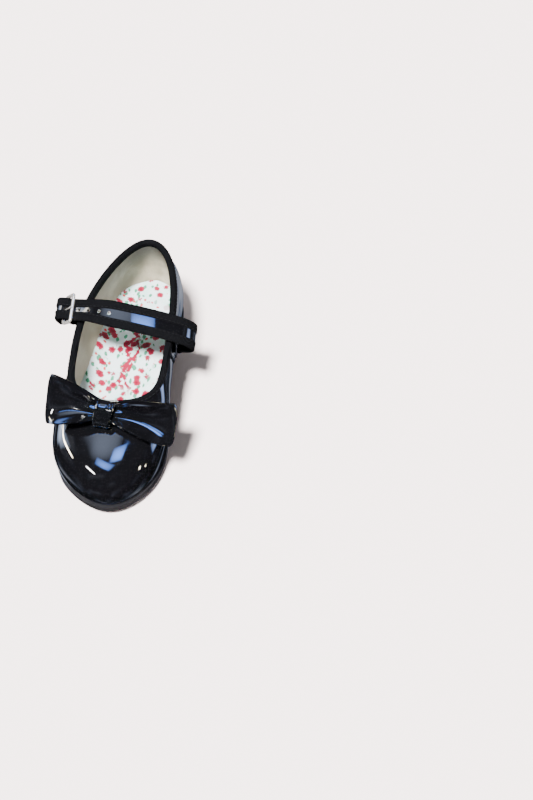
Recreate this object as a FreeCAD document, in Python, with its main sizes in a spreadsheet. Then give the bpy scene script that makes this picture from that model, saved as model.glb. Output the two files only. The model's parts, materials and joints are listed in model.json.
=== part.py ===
"""Child's Mary Jane tap shoe, right foot, as an assembly of separate pieces.

Working axes: X runs from the back of the heel to the toe, Y to the inner (medial) side, Z up, ground at
Z = 0.  Every piece is drawn with X = 0 at the heel's back edge; its Placement then moves the origin to
the middle of the heel tap's face.
"""
import FreeCAD, Part
import math
import os

V = FreeCAD.Vector

SIZES = {
    # last and sole, plan
    "last_length": 172.0,
    "ball_width": 62.5,
    "heel_centre": 24.0,
    "ball_station": 106.0,
    "breast_station": 50.0,
    "toe_tap_rear": 112.0,
    # heights of the outsole's underside
    "toe_tap_thickness": 2.5,
    "tap_board_thickness": 2.5,
    "breast_height": 14.0,
    "back_height": 18.5,
    "outsole_thickness": 3.5,
    "insole_thickness": 1.5,
    "sock_thickness": 1.2,
    "outsole_ledge": 1.0,
    # heel
    "heel_tap_thickness": 3.0,
    "heel_lift_thickness": 2.5,
    "heel_taper": 1.6,
    "heel_tap_setback": 4.5,
    "heel_tap_inset": 1.2,
    "toe_tap_inset": 2.2,
    "tap_board_inset": 0.8,
    "tap_rim_radius": 1.0,
    "tap_front_bow": 3.0,
    "tap_board_overlap": 3.5,
    "heel_breast_setback": 1.0,
    "heel_seat_flare": 0.6,
    "heel_lift_flare": 0.4,
    # upper
    "topline_back": 64.0,
    "topline_strap": 56.3,
    "topline_throat": 45.0,
    "patent_thickness": 1.2,
    "stiffener_thickness": 0.9,
    "lining_thickness": 0.8,
    "ply_gap": 0.12,
    "binding_height": 4.2,
    "binding_stand": 0.5,
    "seam_gap_turn": 0.0015,
    "toe_puff_share": 0.62,
    "counter_share": 0.72,
    # strap and buckle
    "strap_foot": 39.4,
    "strap_lean": 26.0,
    "strap_skew": 0.13,
    "strap_skew_middle": -18.0,
    "strap_half_width": 8.3,
    "strap_end_half_width": 6.9,
    "strap_taper_start": -4.0,
    "strap_taper_end": -26.0,
    "strap_core_thickness": 1.3,
    "strap_binding_thickness": 0.45,
    "strap_binding_width": 5.2,
    "strap_hole_diameter": 2.2,
    "strap_hole_pitch": 6.6,
    "strap_first_hole_gap": 0.3,
    "bond_gap": 0.02,
    "prong_slot_reach": 2.1,
    "buckle_bar_diameter": 1.6,
    "buckle_side_gap": 1.0,
    "prong_diameter": 1.1,
    "tab_half_width": 5.6,
    "tab_thickness": 1.0,
    "pin_gap": 0.2,
    # bow
    "bow_x": 133.2,
    "bow_y": 1.7,
    "bow_z": 48.6,
    "bow_rise": 50.0,
    "bow_turn": 5.0,
    "bow_medial_length": 42.0,
    "bow_lateral_length": 35.0,
    "bow_medial_end_width": 24.6,
    "bow_lateral_end_width": 28.6,
    "bow_medial_rise": -1.5,
    "bow_lateral_rise": 2.0,
    "bow_pinch_width": 11.0,
    "bow_loop_depth": 8.0,
    "knot_length": 12.5,
    "knot_width": 10.0,
    "knot_depth": 8.0,
    "bow_tack_diameter": 3.0,
    # fixings
    "tap_screw_shank": 2.0,
    "tap_screw_head": 5.0,
    "tap_screw_head_height": 1.0,
    "tap_screw_length": 8.0,
    "tap_screw_recess": 0.4,
    "screw_head_edge": 0.3,
    "screw_tip_radius": 0.15,
    "toe_screw_front_setback": 11.0,
    "toe_screw_front_side": 2.5,
    "toe_screw_rear_gap": 10.0,
    "heel_tap_screw_back": 9.5,
    "heel_tap_screw_setback": 8.0,
    "heel_tap_screw_medial": 12.0,
    "heel_tap_screw_lateral": 13.0,
    "nail_spread": 9.0,
    "heel_screw_length": 13.0,
    "heel_screw_flange": 1.6,
    "nail_diameter": 1.2,
    "nail_length": 12.0,
    "nail_head_height": 0.25,
    "hole_clearance": 0.06,
    "shank_width": 9.0,
    "shank_thickness": 1.2,
    "shank_start": 16.0,
}

# Stations round a last 172 mm long and 62.5 mm across the ball: toe, medial side, heel, lateral side.
# Each is the feather line's x and y, the topline's x and y, then how far and how high the side bulges.
REFERENCE_LENGTH = 172.0
REFERENCE_WIDTH = 62.5
REFERENCE_STRAP_HEIGHT = 56.3
REFERENCE_THROAT = 45.0
STATIONS = [
    (171.5, 3.0, 121.3, 1.0, 4.0, 26.0),
    (166.5, 16.5, 119.8, 12.5, 4.5, 25.5),
    (151.0, 27.5, 115.5, 22.0, 6.0, 24.0),
    (128.0, 30.5, 106.5, 28.0, 6.0, 22.0),
    (102.0, 25.5, 92.5, 29.8, 5.0, 18.0),
    (76.0, 22.4, 75.0, 29.2, 4.0, 16.0),
    (50.0, 22.0, 53.0, 27.3, 4.0, 17.0),
    (24.0, 21.5, 29.0, 22.0, 5.0, 18.0),
    (6.0, 13.5, 11.0, 13.0, 5.5, 19.0),
    (0.0, 0.0, 4.5, 2.5, 6.0, 20.0),
    (6.0, -13.5, 10.0, -8.0, 5.5, 19.0),
    (24.0, -21.5, 28.0, -18.5, 5.0, 18.0),
    (50.0, -24.0, 53.0, -26.5, 4.0, 17.0),
    (76.0, -26.5, 75.0, -29.0, 4.0, 16.0),
    (102.0, -31.0, 92.5, -28.3, 5.0, 18.0),
    (128.0, -32.0, 106.5, -26.0, 6.0, 22.0),
    (150.0, -28.5, 115.5, -19.5, 6.0, 24.0),
    (166.0, -12.5, 119.8, -9.5, 4.5, 25.5),
]
COUNT = len(STATIONS)

# Where the plies of the upper begin and end, in stations counted round from the toe.
SEAM_AT_FEATHER, SEAM_AT_TOPLINE = 5.7, 4.5
TOE_PUFF_END = 2.6
COUNTER_START, COUNTER_END = 6.0, 12.0
VAMP_LINING_END, QUARTER_LINING_START = 4.9, 4.95
LINING_FOOT, STIFFENER_FOOT = 0.02, 0.03

doc = FreeCAD.newDocument("TapShoe")
sheet = doc.addObject("Spreadsheet::Sheet", "Sizes")
for row, (name, number) in enumerate(SIZES.items(), start=1):
    sheet.set(f"A{row}", name)
    sheet.set(f"B{row}", str(number))
    sheet.setAlias(f"B{row}", name)
doc.recompute()

pieces = []


def size(name):
    return float(sheet.get(name))


# ---------------------------------------------------------------- heights along the shoe

def underside_at_ball():
    return size("toe_tap_thickness") + size("tap_board_thickness")


def heel_slope():
    return (size("back_height") - size("breast_height")) / size("breast_station")


def shank_poles():
    """Bezier poles (x, z) of the underside from the ball back to the heel breast."""
    ball, breast = size("ball_station"), size("breast_station")
    reach = 0.4 * (ball - breast)
    return [(ball, underside_at_ball()), (ball - reach, underside_at_ball()),
            (breast + reach, size("breast_height") - heel_slope() * reach), (breast, size("breast_height"))]


def bezier(poles, share):
    rest = 1.0 - share
    weights = (rest ** 3, 3 * share * rest ** 2, 3 * share ** 2 * rest, share ** 3)
    return [sum(weight * pole[axis] for weight, pole in zip(weights, poles))
            for axis in range(len(poles[0]))]


def underside(x):
    """Height of the outsole's underside."""
    if x >= size("ball_station"):
        return underside_at_ball()
    if x <= size("breast_station"):
        return size("breast_height") + heel_slope() * (size("breast_station") - x)
    low, high = 0.0, 1.0
    for _ in range(40):
        middle = 0.5 * (low + high)
        if bezier(shank_poles(), middle)[0] > x:
            low = middle
        else:
            high = middle
    return bezier(shank_poles(), low)[1]


def feather(x):
    """Height of the outsole's top, where the upper's edge sits."""
    return underside(x) + size("outsole_thickness")


def topline(x):
    """Height of the topline: one parabola through heel, strap and throat."""
    scale = size("last_length") / REFERENCE_LENGTH
    marks = [(STATIONS[9][2] * scale, size("topline_back")), (STATIONS[5][2] * scale, size("topline_strap")),
             (STATIONS[0][2] * scale, size("topline_throat"))]
    total = 0.0
    for i, (xi, zi) in enumerate(marks):
        share = zi
        for j, (xj, _) in enumerate(marks):
            if i != j:
                share *= (x - xj) / (xi - xj)
        total += share
    return total


# ---------------------------------------------------------------- the last's surface

def spline_poles(points):
    """Poles of a closed uniform cubic B-spline that passes through the points."""
    poles = [list(point) for point in points]
    for _ in range(30):
        for i in range(COUNT):
            before, after = poles[i - 1], poles[(i + 1) % COUNT]
            poles[i] = [1.5 * points[i][k] - 0.25 * (before[k] + after[k]) for k in range(len(points[i]))]
    return poles


def spline_point(poles, turn):
    place = (turn % 1.0) * COUNT
    i, t = int(place) % COUNT, place - int(place)
    weights = ((1 - t) ** 3 / 6, (3 * t ** 3 - 6 * t * t + 4) / 6,
               (-3 * t ** 3 + 3 * t * t + 3 * t + 1) / 6, t ** 3 / 6)
    near = (poles[i - 1], poles[i], poles[(i + 1) % COUNT], poles[(i + 2) % COUNT])
    return [sum(weight * pole[k] for weight, pole in zip(weights, near)) for k in range(len(poles[0]))]


def last_poles():
    length = size("last_length") / REFERENCE_LENGTH
    width = size("ball_width") / REFERENCE_WIDTH
    feet = [(x * length, y * width) for x, y, _, _, _, _ in STATIONS]
    foot = spline_poles(feet)
    rises, leans, tops = [], [], []
    for i, (_, _, top_x, top_y, bulge, rise) in enumerate(STATIONS):
        before, after = spline_point(foot, (i - 0.01) / COUNT), spline_point(foot, (i + 0.01) / COUNT)
        run = math.hypot(after[0] - before[0], after[1] - before[1])
        out = ((after[1] - before[1]) / run, (before[0] - after[0]) / run)
        x, y = feet[i]
        rises.append((x + out[0] * bulge, y + out[1] * bulge, feather(x) + rise))
        top = (top_x * length, top_y * width, topline(top_x * length))
        tops.append(top)
        angle = 2 * math.pi * i / COUNT
        toe = max(0.0, math.cos(angle)) ** 1.5
        heel = max(0.0, -math.cos(angle)) ** 2
        leans.append((top[0] + 24 * toe - 5 * heel, top[1] + (3 + 12 * toe) * math.sin(angle),
                      top[2] - 17 + 8 * toe))
    return foot, spline_poles(rises), spline_poles(leans), spline_poles(tops)


LAST = last_poles()


def last_point(turn, share):
    """Outer face of the upper: turn goes round from the toe, share from feather line to topline."""
    x, y = spline_point(LAST[0], turn)
    poles = [(x, y, feather(x))] + [spline_point(poles, turn) for poles in LAST[1:]]
    return V(*bezier(poles, share))


def last_normal(turn, share):
    step = 0.001
    low, high = max(0.0, share - step), min(1.0, share + step)
    along = last_point(turn + step, share) - last_point(turn - step, share)
    up = last_point(turn, high) - last_point(turn, low)
    return along.cross(up).normalize()


def below_topline(turn, distance):
    """Share at which the surface is this far below the topline."""
    step = 0.02
    slope = (last_point(turn, 1.0) - last_point(turn, 1.0 - step)).Length / step
    return 1.0 - distance / slope


# ---------------------------------------------------------------- helpers

def place_piece(piece, name, turn=None, base=None):
    """Name a finished sub-part and move it from the drawing origin to the heel tap's middle."""
    piece.Label = name
    start = base or V(0, 0, 0)
    turning = turn or FreeCAD.Rotation()
    piece.Placement = FreeCAD.Placement(V(start.x - size("heel_centre"), start.y, start.z), turning)
    pieces.append(piece)


def new_body(name):
    return doc.addObject("PartDesign::Body", name + "_body")


def new_sketch(body, role="XY_Plane", height=None):
    """Sketch on one of the body's own origin planes, lifted by an expression on the sheet."""
    plane = [item for item in body.Origin.OriginFeatures if item.Role == role][0]
    sketch = body.newObject("Sketcher::SketchObject", "sketch")
    sketch.AttachmentSupport = (plane, [""])
    sketch.MapMode = "FlatFace"
    if height:
        sketch.setExpression("AttachmentOffset.Base.z", height)
    return sketch


def draw(sketch, *curves):
    for curve in curves:
        sketch.addGeometry(curve, False)


def spline(points, closed=False):
    curve = Part.BSplineCurve()
    curve.interpolate([V(x, y, 0) for x, y in points], PeriodicFlag=closed)
    return curve


def line(start, end):
    return Part.LineSegment(V(*start, 0), V(*end, 0))


def pad(body, sketch, length, both_ways=False):
    feature = body.newObject("PartDesign::Pad", "pad")
    feature.Profile = sketch
    feature.setExpression("Length", length)
    if both_ways:
        feature.SideType = "Symmetric"
    return feature


def pocket(body, sketch, length=None, upwards=False, both_ways=False):
    feature = body.newObject("PartDesign::Pocket", "pocket")
    feature.Profile = sketch
    if length:
        feature.setExpression("Length", length)
    else:
        feature.Type = "ThroughAll"
    feature.Reversed = upwards
    if both_ways:
        feature.SideType = "Symmetric"
    return feature


def fillet(body, base, radius, chosen):
    """Round the edges of the base that pass the test."""
    doc.recompute()
    names = [f"Edge{i}" for i, edge in enumerate(base.Shape.Edges, start=1) if chosen(edge)]
    feature = body.newObject("PartDesign::Fillet", "fillet")
    feature.Base = (base, names)
    feature.setExpression("Radius", radius)
    return feature


def foot_point(turn, inset):
    """Point of the feather line in plan, moved inwards by the inset."""
    step = 0.002
    x, y = spline_point(LAST[0], turn)
    ahead, behind = spline_point(LAST[0], turn + step), spline_point(LAST[0], turn - step)
    run = math.hypot(ahead[0] - behind[0], ahead[1] - behind[1])
    return x - inset * (ahead[1] - behind[1]) / run, y + inset * (ahead[0] - behind[0]) / run


def turn_at(x, side):
    """Where the feather line crosses this x on the medial (1) or lateral (-1) side."""
    low, high = 0.0, 0.5
    for _ in range(40):
        middle = 0.5 * (low + high)
        if spline_point(LAST[0], side * middle)[0] > x:
            low = middle
        else:
            high = middle
    return side * low


def whole_outline(inset, count=36):
    return spline([foot_point(i / count, inset) for i in range(count)], closed=True)


def end_outline(x, inset, toe=False, bow=0.0, count=14):
    """Outline of the sole's heel end or toe end, closed by a cross line at x that bows out."""
    medial, lateral = turn_at(x, 1), turn_at(x, -1)
    if toe:
        turns = [medial + (lateral - medial) * i / count for i in range(count + 1)]
    else:
        turns = [medial + (1.0 + lateral - medial) * i / count for i in range(count + 1)]
    points = [foot_point(turn, inset) for turn in turns]
    points[0], points[-1] = (x, points[0][1]), (x, points[-1][1])
    start, end = points[-1], points[0]
    if bow:
        middle = (x + bow, 0.5 * (start[1] + end[1]))
        closing = Part.Arc(V(*start, 0), V(*middle, 0), V(*end, 0))
    else:
        closing = line(start, end)
    return spline(points), closing


def profile_band(low, high, start, end):
    """Side view of a layer that follows the underside, between two offsets, from x to x."""
    ball, breast = size("ball_station"), size("breast_station")
    curves = []
    for offset in (low, high):
        poles = [V(x, z + offset, 0) for x, z in shank_poles()]
        arc = Part.BezierCurve()
        arc.setPoles(poles)
        curves.append(line((start, underside(start) + offset), (breast, underside(breast) + offset)))
        curves.append(arc.toBSpline())
        if end > ball:
            curves.append(line((ball, underside(ball) + offset), (end, underside(end) + offset)))
    curves.append(line((start, underside(start) + low), (start, underside(start) + high)))
    curves.append(line((end, underside(end) + low), (end, underside(end) + high)))
    return curves


def trim_to_outline(body, inset):
    """Cut away all of a slab that lies outside the sole's outline."""
    margin = 60.0
    left, right = -margin, size("last_length") + margin
    side = size("ball_width") + margin
    sketch = new_sketch(body)
    draw(sketch, line((left, -side), (right, -side)), line((right, -side), (right, side)),
         line((right, side), (left, side)), line((left, side), (left, -side)), whole_outline(inset))
    return pocket(body, sketch, both_ways=True)


def drill(body, centres, diameter, height, depth):
    """Round holes that go up from a height."""
    sketch = new_sketch(body, height=height)
    for x, y in centres:
        draw(sketch, Part.Circle(V(x, y, 0), V(0, 0, 1), 0.5 * diameter))
    return pocket(body, sketch, length=depth, upwards=True)


# ---------------------------------------------------------------- screw and nail places

def toe_screw_places():
    rear, front = size("toe_tap_rear"), size("last_length")
    centre_y = 0.5 * (foot_point(turn_at(rear, 1), 0)[1] + foot_point(turn_at(rear, -1), 0)[1])
    spread = 0.3 * size("ball_width")
    back = rear + size("toe_screw_rear_gap")
    return {"front": (front - size("toe_screw_front_setback"), size("toe_screw_front_side")),
            "inner": (back, centre_y + spread), "outer": (back, centre_y - spread)}


def heel_screw_places():
    front = size("breast_station") - size("heel_tap_setback") - size("heel_tap_screw_setback")
    return {"back": (size("heel_tap_screw_back"), 0.0), "inner": (front, size("heel_tap_screw_medial")),
            "outer": (front, -size("heel_tap_screw_lateral"))}


def nail_places():
    middle, spread = size("heel_centre"), size("nail_spread")
    return [(middle + along * spread, side * spread) for along in (-1, 1) for side in (-1, 1)]


HEEL_SCREW_PLACE = (SIZES["heel_centre"], 0.0)
FIXING_DIAMETER = size("tap_screw_shank") + 2 * size("hole_clearance")


# ---------------------------------------------------------------- sole

def make_slab(name, low, high, inset, cuts=None):
    """Layer with the sole's side profile, trimmed to its outline."""
    body = new_body(name)
    sketch = new_sketch(body, "XZ_Plane")
    reach = 6.0
    draw(sketch, *profile_band(low, high, -reach, size("last_length") + reach))
    pad(body, sketch, "Sizes.ball_width * 2", both_ways=True)
    trim_to_outline(body, inset)
    if cuts:
        cuts(body)
    doc.recompute()
    place_piece(body, name)


def outsole_cuts(body):
    groove = new_sketch(body, "XZ_Plane")
    floor = size("outsole_thickness") - size("shank_thickness") - size("hole_clearance")
    draw(groove, *profile_band(floor, size("outsole_thickness") + 1.0, size("shank_start") - 0.2,
                               size("ball_station")))
    pocket(body, groove, length="Sizes.shank_width + 0.4", both_ways=True)
    drill(body, toe_screw_places().values(), FIXING_DIAMETER,
          "Sizes.toe_tap_thickness + Sizes.tap_board_thickness - 1", "Sizes.tap_screw_length - 3.4")
    drill(body, nail_places(), size("nail_diameter") + 2 * size("hole_clearance"),
          "Sizes.breast_height", "Sizes.outsole_thickness * 3")
    drill(body, [HEEL_SCREW_PLACE], FIXING_DIAMETER, "Sizes.breast_height", "Sizes.outsole_thickness * 3")


def heel_screw_head_radius():
    return 0.5 * size("tap_screw_shank") + size("heel_screw_flange")


def head_seat(x, head_radius):
    """Height a fixing's head sits at: its top is level with the lowest board surface round it."""
    return feather(x + head_radius) + size("insole_thickness") - size("nail_head_height")


def insole_cuts(body):
    height = "Sizes.breast_height"
    heads = [(x, y, size("nail_diameter")) for x, y in nail_places()]
    heads.append((*HEEL_SCREW_PLACE, heel_screw_head_radius()))
    for x, y, radius in heads:
        drill(body, [(x, y)], 2 * (radius + 3 * size("hole_clearance")),
              str(head_seat(x, radius) - 0.5 * size("hole_clearance")), "Sizes.insole_thickness * 2")
    drill(body, nail_places(), size("nail_diameter") + 2 * size("hole_clearance"), height,
          "Sizes.outsole_thickness * 5")
    drill(body, [HEEL_SCREW_PLACE], FIXING_DIAMETER, height, "Sizes.outsole_thickness * 5")


def inside_inset():
    """How far inside the feather line the lining's inner face is."""
    return (size("patent_thickness") + size("stiffener_thickness") + size("lining_thickness")
            + 3 * size("ply_gap"))


def make_shank():
    body = new_body("shank")
    sketch = new_sketch(body, "XZ_Plane")
    top = size("outsole_thickness") - 0.5 * size("hole_clearance")
    draw(sketch, *profile_band(top - size("shank_thickness"), top, size("shank_start"),
                               size("ball_station")))
    pad(body, sketch, "Sizes.shank_width", both_ways=True)
    drill(body, [HEEL_SCREW_PLACE], FIXING_DIAMETER, "Sizes.breast_height", "Sizes.outsole_thickness * 3")
    place_piece(body, "shank")


def make_plate(name, outline, low, thickness, holes=(), heads=False, rim=None):
    """Flat plate with screw holes, and counterbores for the heads, on its lower face."""
    body = new_body(name)
    sketch = new_sketch(body, height=low)
    draw(sketch, *outline)
    base = pad(body, sketch, thickness)
    if rim:
        doc.recompute()
        bottom = base.Shape.BoundBox.ZMin
        base = fillet(body, base, rim, lambda edge: edge.BoundBox.ZMax < bottom + 0.01)
    if holes:
        drill(body, holes, FIXING_DIAMETER, low, thickness)
    if heads:
        drill(body, holes, size("tap_screw_head") + 5 * size("hole_clearance"), low,
              "Sizes.tap_screw_head_height + Sizes.tap_screw_recess")
    place_piece(body, name)


def make_heel_block():
    body = new_body("heel_block")
    low = "Sizes.heel_tap_thickness + Sizes.heel_lift_thickness"
    bottom = new_sketch(body, height=low)
    draw(bottom, *end_outline(size("breast_station") - size("heel_breast_setback"),
                              size("heel_taper") - size("heel_seat_flare")))
    top = new_sketch(body, height="Sizes.back_height + 2")
    draw(top, *end_outline(size("breast_station"), -size("heel_seat_flare")))
    loft = body.newObject("PartDesign::AdditiveLoft", "loft")
    loft.Profile = bottom
    loft.Sections = [top]
    loft.Ruled = True
    seat = new_sketch(body, "XZ_Plane")
    beyond = 20.0
    left, right = -beyond, size("breast_station") + beyond
    roof = size("back_height") + 1.5 * beyond
    low_left = (left, underside(left))
    low_right = (right, size("breast_height") - heel_slope() * beyond)
    draw(seat, line(low_left, low_right), line(low_right, (right, roof)), line((right, roof), (left, roof)),
         line((left, roof), low_left))
    pocket(body, seat, both_ways=True)
    drill(body, heel_screw_places().values(), FIXING_DIAMETER, low, "Sizes.tap_screw_length - 4")
    drill(body, [HEEL_SCREW_PLACE], FIXING_DIAMETER, low + " + 2", "Sizes.heel_screw_length * 2")
    drill(body, nail_places(), size("nail_diameter") + 2 * size("hole_clearance"), low + " + 2",
          "Sizes.heel_screw_length * 2")
    place_piece(body, "heel_block")


def revolve(name, points, place, flip=False):
    """Turned piece: half profile (radius, height) revolved about its own Z axis."""
    body = new_body(name)
    sketch = new_sketch(body, "XZ_Plane")
    for start, end in zip(points, points[1:] + points[:1]):
        draw(sketch, line(start, end))
    turn = body.newObject("PartDesign::Revolution", "turn")
    turn.Profile = sketch
    turn.ReferenceAxis = (sketch, ["V_Axis"])
    turn.Angle = 360.0
    turning = FreeCAD.Rotation(V(1, 0, 0), 180.0) if flip else FreeCAD.Rotation()
    place_piece(body, name, turning, V(*place))


def screw_profile(length, radius, head_radius, head_height):
    """Head downwards at height 0, pointed shank upwards."""
    tip, edge = 1.2 * radius, size("screw_head_edge")
    return [(0, 0), (head_radius - edge, 0), (head_radius, edge), (head_radius, head_height),
            (radius, head_height), (radius, length - tip), (size("screw_tip_radius"), length), (0, length)]


def make_tap_screws():
    profile = screw_profile(size("tap_screw_length"), 0.5 * size("tap_screw_shank"),
                            0.5 * size("tap_screw_head"), size("tap_screw_head_height"))
    for group, places in (("toe", toe_screw_places()), ("heel", heel_screw_places())):
        for where, (x, y) in places.items():
            revolve(f"{group}_tap_screw_{where}", profile, (x, y, size("tap_screw_recess")))


def make_heel_fixings():
    x, y = HEEL_SCREW_PLACE
    head = size("nail_head_height")
    radius, head_radius = 0.5 * size("tap_screw_shank"), heel_screw_head_radius()
    top = head_seat(x, head_radius)
    length, tip = size("heel_screw_length"), 1.5 * radius
    profile = [(0, head), (head_radius, head), (head_radius, 0.0), (radius, 0.0), (radius, tip - length),
               (size("screw_tip_radius"), -length), (0, -length)]
    revolve("heel_attaching_screw", profile, (x, y, top))
    radius = 0.5 * size("nail_diameter")
    nails = []
    for x, y in nail_places():
        top = head_seat(x, 2 * radius)
        shaft = Part.makeCylinder(radius, size("nail_length"), V(x, y, top - size("nail_length")))
        nails.append(shaft.fuse(Part.makeCylinder(2 * radius, head, V(x, y, top))))
    feature = doc.addObject("Part::Feature", "heel_nails_feature")
    feature.Shape = Part.makeCompound(nails)
    place_piece(feature, "heel_nails")


# ---------------------------------------------------------------- upper

def make_ply(name, start, end, low, high, outer, inner, columns=24, rows=9):
    """Sheet of the upper between two depths; its ends slant with height, low and high follow the turn."""
    faces, edges = [], []
    for depth in (outer, inner):
        grid = []
        for i in range(columns + 1):
            column = []
            for k in range(rows + 1):
                height = k / rows
                turn = start(height) + (end(height) - start(height)) * i / columns
                share = low(turn) + (high(turn) - low(turn)) * height
                column.append(last_point(turn, share) + last_normal(turn, share) * depth)
            grid.append(column)
        surface = Part.BSplineSurface()
        surface.interpolate(grid)
        u0, u1, v0, v1 = surface.bounds()
        faces.append(surface.toShape())
        edges.append([curve.toShape() for curve in (surface.uIso(u0), surface.uIso(u1),
                                                     surface.vIso(v0), surface.vIso(v1))])
    for one, other in zip(*edges):
        faces.append(Part.makeRuledSurface(one, other))
    shell = Part.Shell(faces)
    shell.sewShape()
    solid = Part.Solid(shell)
    if solid.Volume < 0:
        solid = Part.Solid(shell.reversed())
    feature = doc.addObject("Part::Feature", name + "_feature")
    feature.Shape = solid
    place_piece(feature, name)
    return feature


def always(number):
    return lambda _: number


def seam(side, shift=0.0):
    """Side seam: from the heel breast at the feather line to just before the strap at the topline."""
    low, high = SEAM_AT_FEATHER / COUNT, SEAM_AT_TOPLINE / COUNT
    return lambda height: side * (low + (high - low) * height + shift)


def make_upper():
    gap = size("seam_gap_turn")
    under_binding = lambda turn: below_topline(turn, size("binding_height"))
    patent = (0.0, -size("patent_thickness"))
    stiffener = (patent[1] - size("ply_gap"), patent[1] - size("ply_gap") - size("stiffener_thickness"))
    lining = (stiffener[1] - size("ply_gap"), stiffener[1] - size("ply_gap") - size("lining_thickness"))
    half = 0.5
    vamp = make_ply("vamp", seam(-1), seam(1), always(0.0), under_binding, *patent, columns=36)
    make_ply("medial_quarter", seam(1, gap), always(half - gap), always(0.0), under_binding, *patent)
    make_ply("lateral_quarter", always(-half + gap), seam(-1, gap), always(0.0), under_binding, *patent)
    make_ply("toe_puff", always(-TOE_PUFF_END / COUNT), always(TOE_PUFF_END / COUNT), always(STIFFENER_FOOT),
             always(size("toe_puff_share")), *stiffener)
    make_ply("heel_counter", always(COUNTER_START / COUNT), always(COUNTER_END / COUNT),
             always(STIFFENER_FOOT), always(size("counter_share")), *stiffener)
    make_ply("vamp_lining", always(-VAMP_LINING_END / COUNT), always(VAMP_LINING_END / COUNT),
             always(LINING_FOOT), under_binding, *lining, columns=32)
    make_ply("quarter_lining", always(QUARTER_LINING_START / COUNT), always(1 - QUARTER_LINING_START / COUNT),
             always(LINING_FOOT), under_binding, *lining, columns=32)
    edge = lambda turn: below_topline(turn, size("binding_height") - size("ply_gap"))
    make_ply("topline_binding", always(gap), always(1.0 - gap), edge, always(1.0),
             size("binding_stand"), lining[1] - size("binding_stand"), columns=72, rows=4)
    return vamp


# ---------------------------------------------------------------- strap and buckle

def strap_place(y, height):
    """Point in the strap's leaning plane, moved with the shoe's width and topline; ends move as one."""
    half = 0.475 * REFERENCE_WIDTH
    spread = half * (size("ball_width") / REFERENCE_WIDTH - 1.0) * max(-1.0, min(1.0, y / half))
    lift = (size("topline_strap") - REFERENCE_STRAP_HEIGHT) / math.cos(math.radians(size("strap_lean")))
    return y + spread, height + lift


# The strap is drawn in its own leaning plane: sideways place and height up the lean.
STRAP_ROOT = [strap_place(*point) for point in [(29.5, 39.5), (31.2, 45.0), (35.0, 49.3)]]
STRAP_ARCH = [strap_place(*point) for point in [
    (35.3, 49.6), (39.6, 52.8), (41.8, 57.2), (40.2, 63.3), (34.3, 68.2), (22.0, 72.3), (7.0, 74.4),
    (-9.0, 74.6), (-21.0, 72.2), (-30.1, 68.0), (-35.9, 66.2), (-41.6, 64.4), (-44.2, 60.0), (-44.4, 54.0),
    (-43.3, 47.5)]]
FRONT_BAR = strap_place(-31.8, 69.6)
PIN_BAR = strap_place(-39.1, 62.0)
TAB_TAIL = [PIN_BAR] + [strap_place(*point) for point in [
    (-35.3, 55.8), (-32.1, 49.5), (-31.0, 44.5), (-30.2, 40.0), (-29.4, 36.5)]]


def strap_skew(y):
    """How far forward of the leaning plane's middle the strap runs at a sideways place."""
    return size("strap_skew") * (y - size("strap_skew_middle"))


def askew(outline):
    return [(x + strap_skew(y), y) for x, y in outline]


def buckle_shift():
    """How far the strap's middle lies off the leaning plane's middle where it crosses the buckle."""
    return strap_skew(0.5 * (FRONT_BAR[0] + PIN_BAR[0]))


def offset_line(points, distance, samples=40):
    """Spline at a distance to one side of the spline through the points."""
    middle = spline(points)
    first, last = middle.FirstParameter, middle.LastParameter
    result = []
    for i in range(samples + 1):
        at = first + (last - first) * i / samples
        place, along = middle.value(at), middle.tangent(at)[0]
        result.append((place.x - along.y * distance, place.y + along.x * distance))
    return result


def strap_band(points, outer, inner, outline):
    """Band along the strap's line, between two distances from it, kept inside an outline seen from above."""
    above, below = offset_line(points, outer), offset_line(points, inner)
    edges = [spline(above).toShape(), line(above[-1], below[-1]).toShape(), spline(below).toShape(),
             line(above[0], below[0]).toShape()]
    face = Part.Face(Part.Wire(Part.__sortEdges__(edges)))
    half = size("strap_half_width") + 30.0
    face.Placement = FreeCAD.Placement(V(-half, 0, 0), FreeCAD.Rotation(V(0, 1, 0), V(0, 0, 1), V(1, 0, 0)))
    plan = Part.Face(Part.makePolygon([V(x, y, 0) for x, y in outline + outline[:1]]))
    return face.extrude(V(2 * half, 0, 0)).common(plan.extrude(V(0, 0, 200)))


def strap_outline(inner, outer, tapered):
    """Outline seen from above of a strip between two distances in from the strap's edge, on the front."""
    far, slim_end, wide_start = 70.0, size("strap_taper_end"), size("strap_taper_start")
    wide, slim = size("strap_half_width"), size("strap_end_half_width")
    if not tapered:
        return [(wide - inner, -far), (wide - inner, far), (wide - outer, far), (wide - outer, -far)]
    return [(slim - inner, -far), (slim - inner, slim_end), (wide - inner, wide_start), (wide - inner, far),
            (wide - outer, far), (wide - outer, wide_start), (slim - outer, slim_end), (slim - outer, -far)]


def on_side(outline, side):
    """The outline on the front edge (1) or mirrored to the rear edge (-1)."""
    return [(side * x, y) for x, y in outline]


def whole_width(edge, tapered):
    """Outline of the whole strap less the same edge on each side."""
    half = len(strap_outline(edge, 0, tapered)) // 2
    front = strap_outline(edge, 0, tapered)[:half]
    return front + on_side(front, -1)[::-1]


def strap_direction(y):
    """Middle point and direction of the strap's line at a sideways place."""
    middle = spline(STRAP_ARCH)
    low, high = middle.FirstParameter, middle.LastParameter
    for _ in range(40):
        at = 0.5 * (low + high)
        if middle.value(at).x > y:
            low = at
        else:
            high = at
    return middle.value(low), middle.tangent(low)[0]


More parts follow.
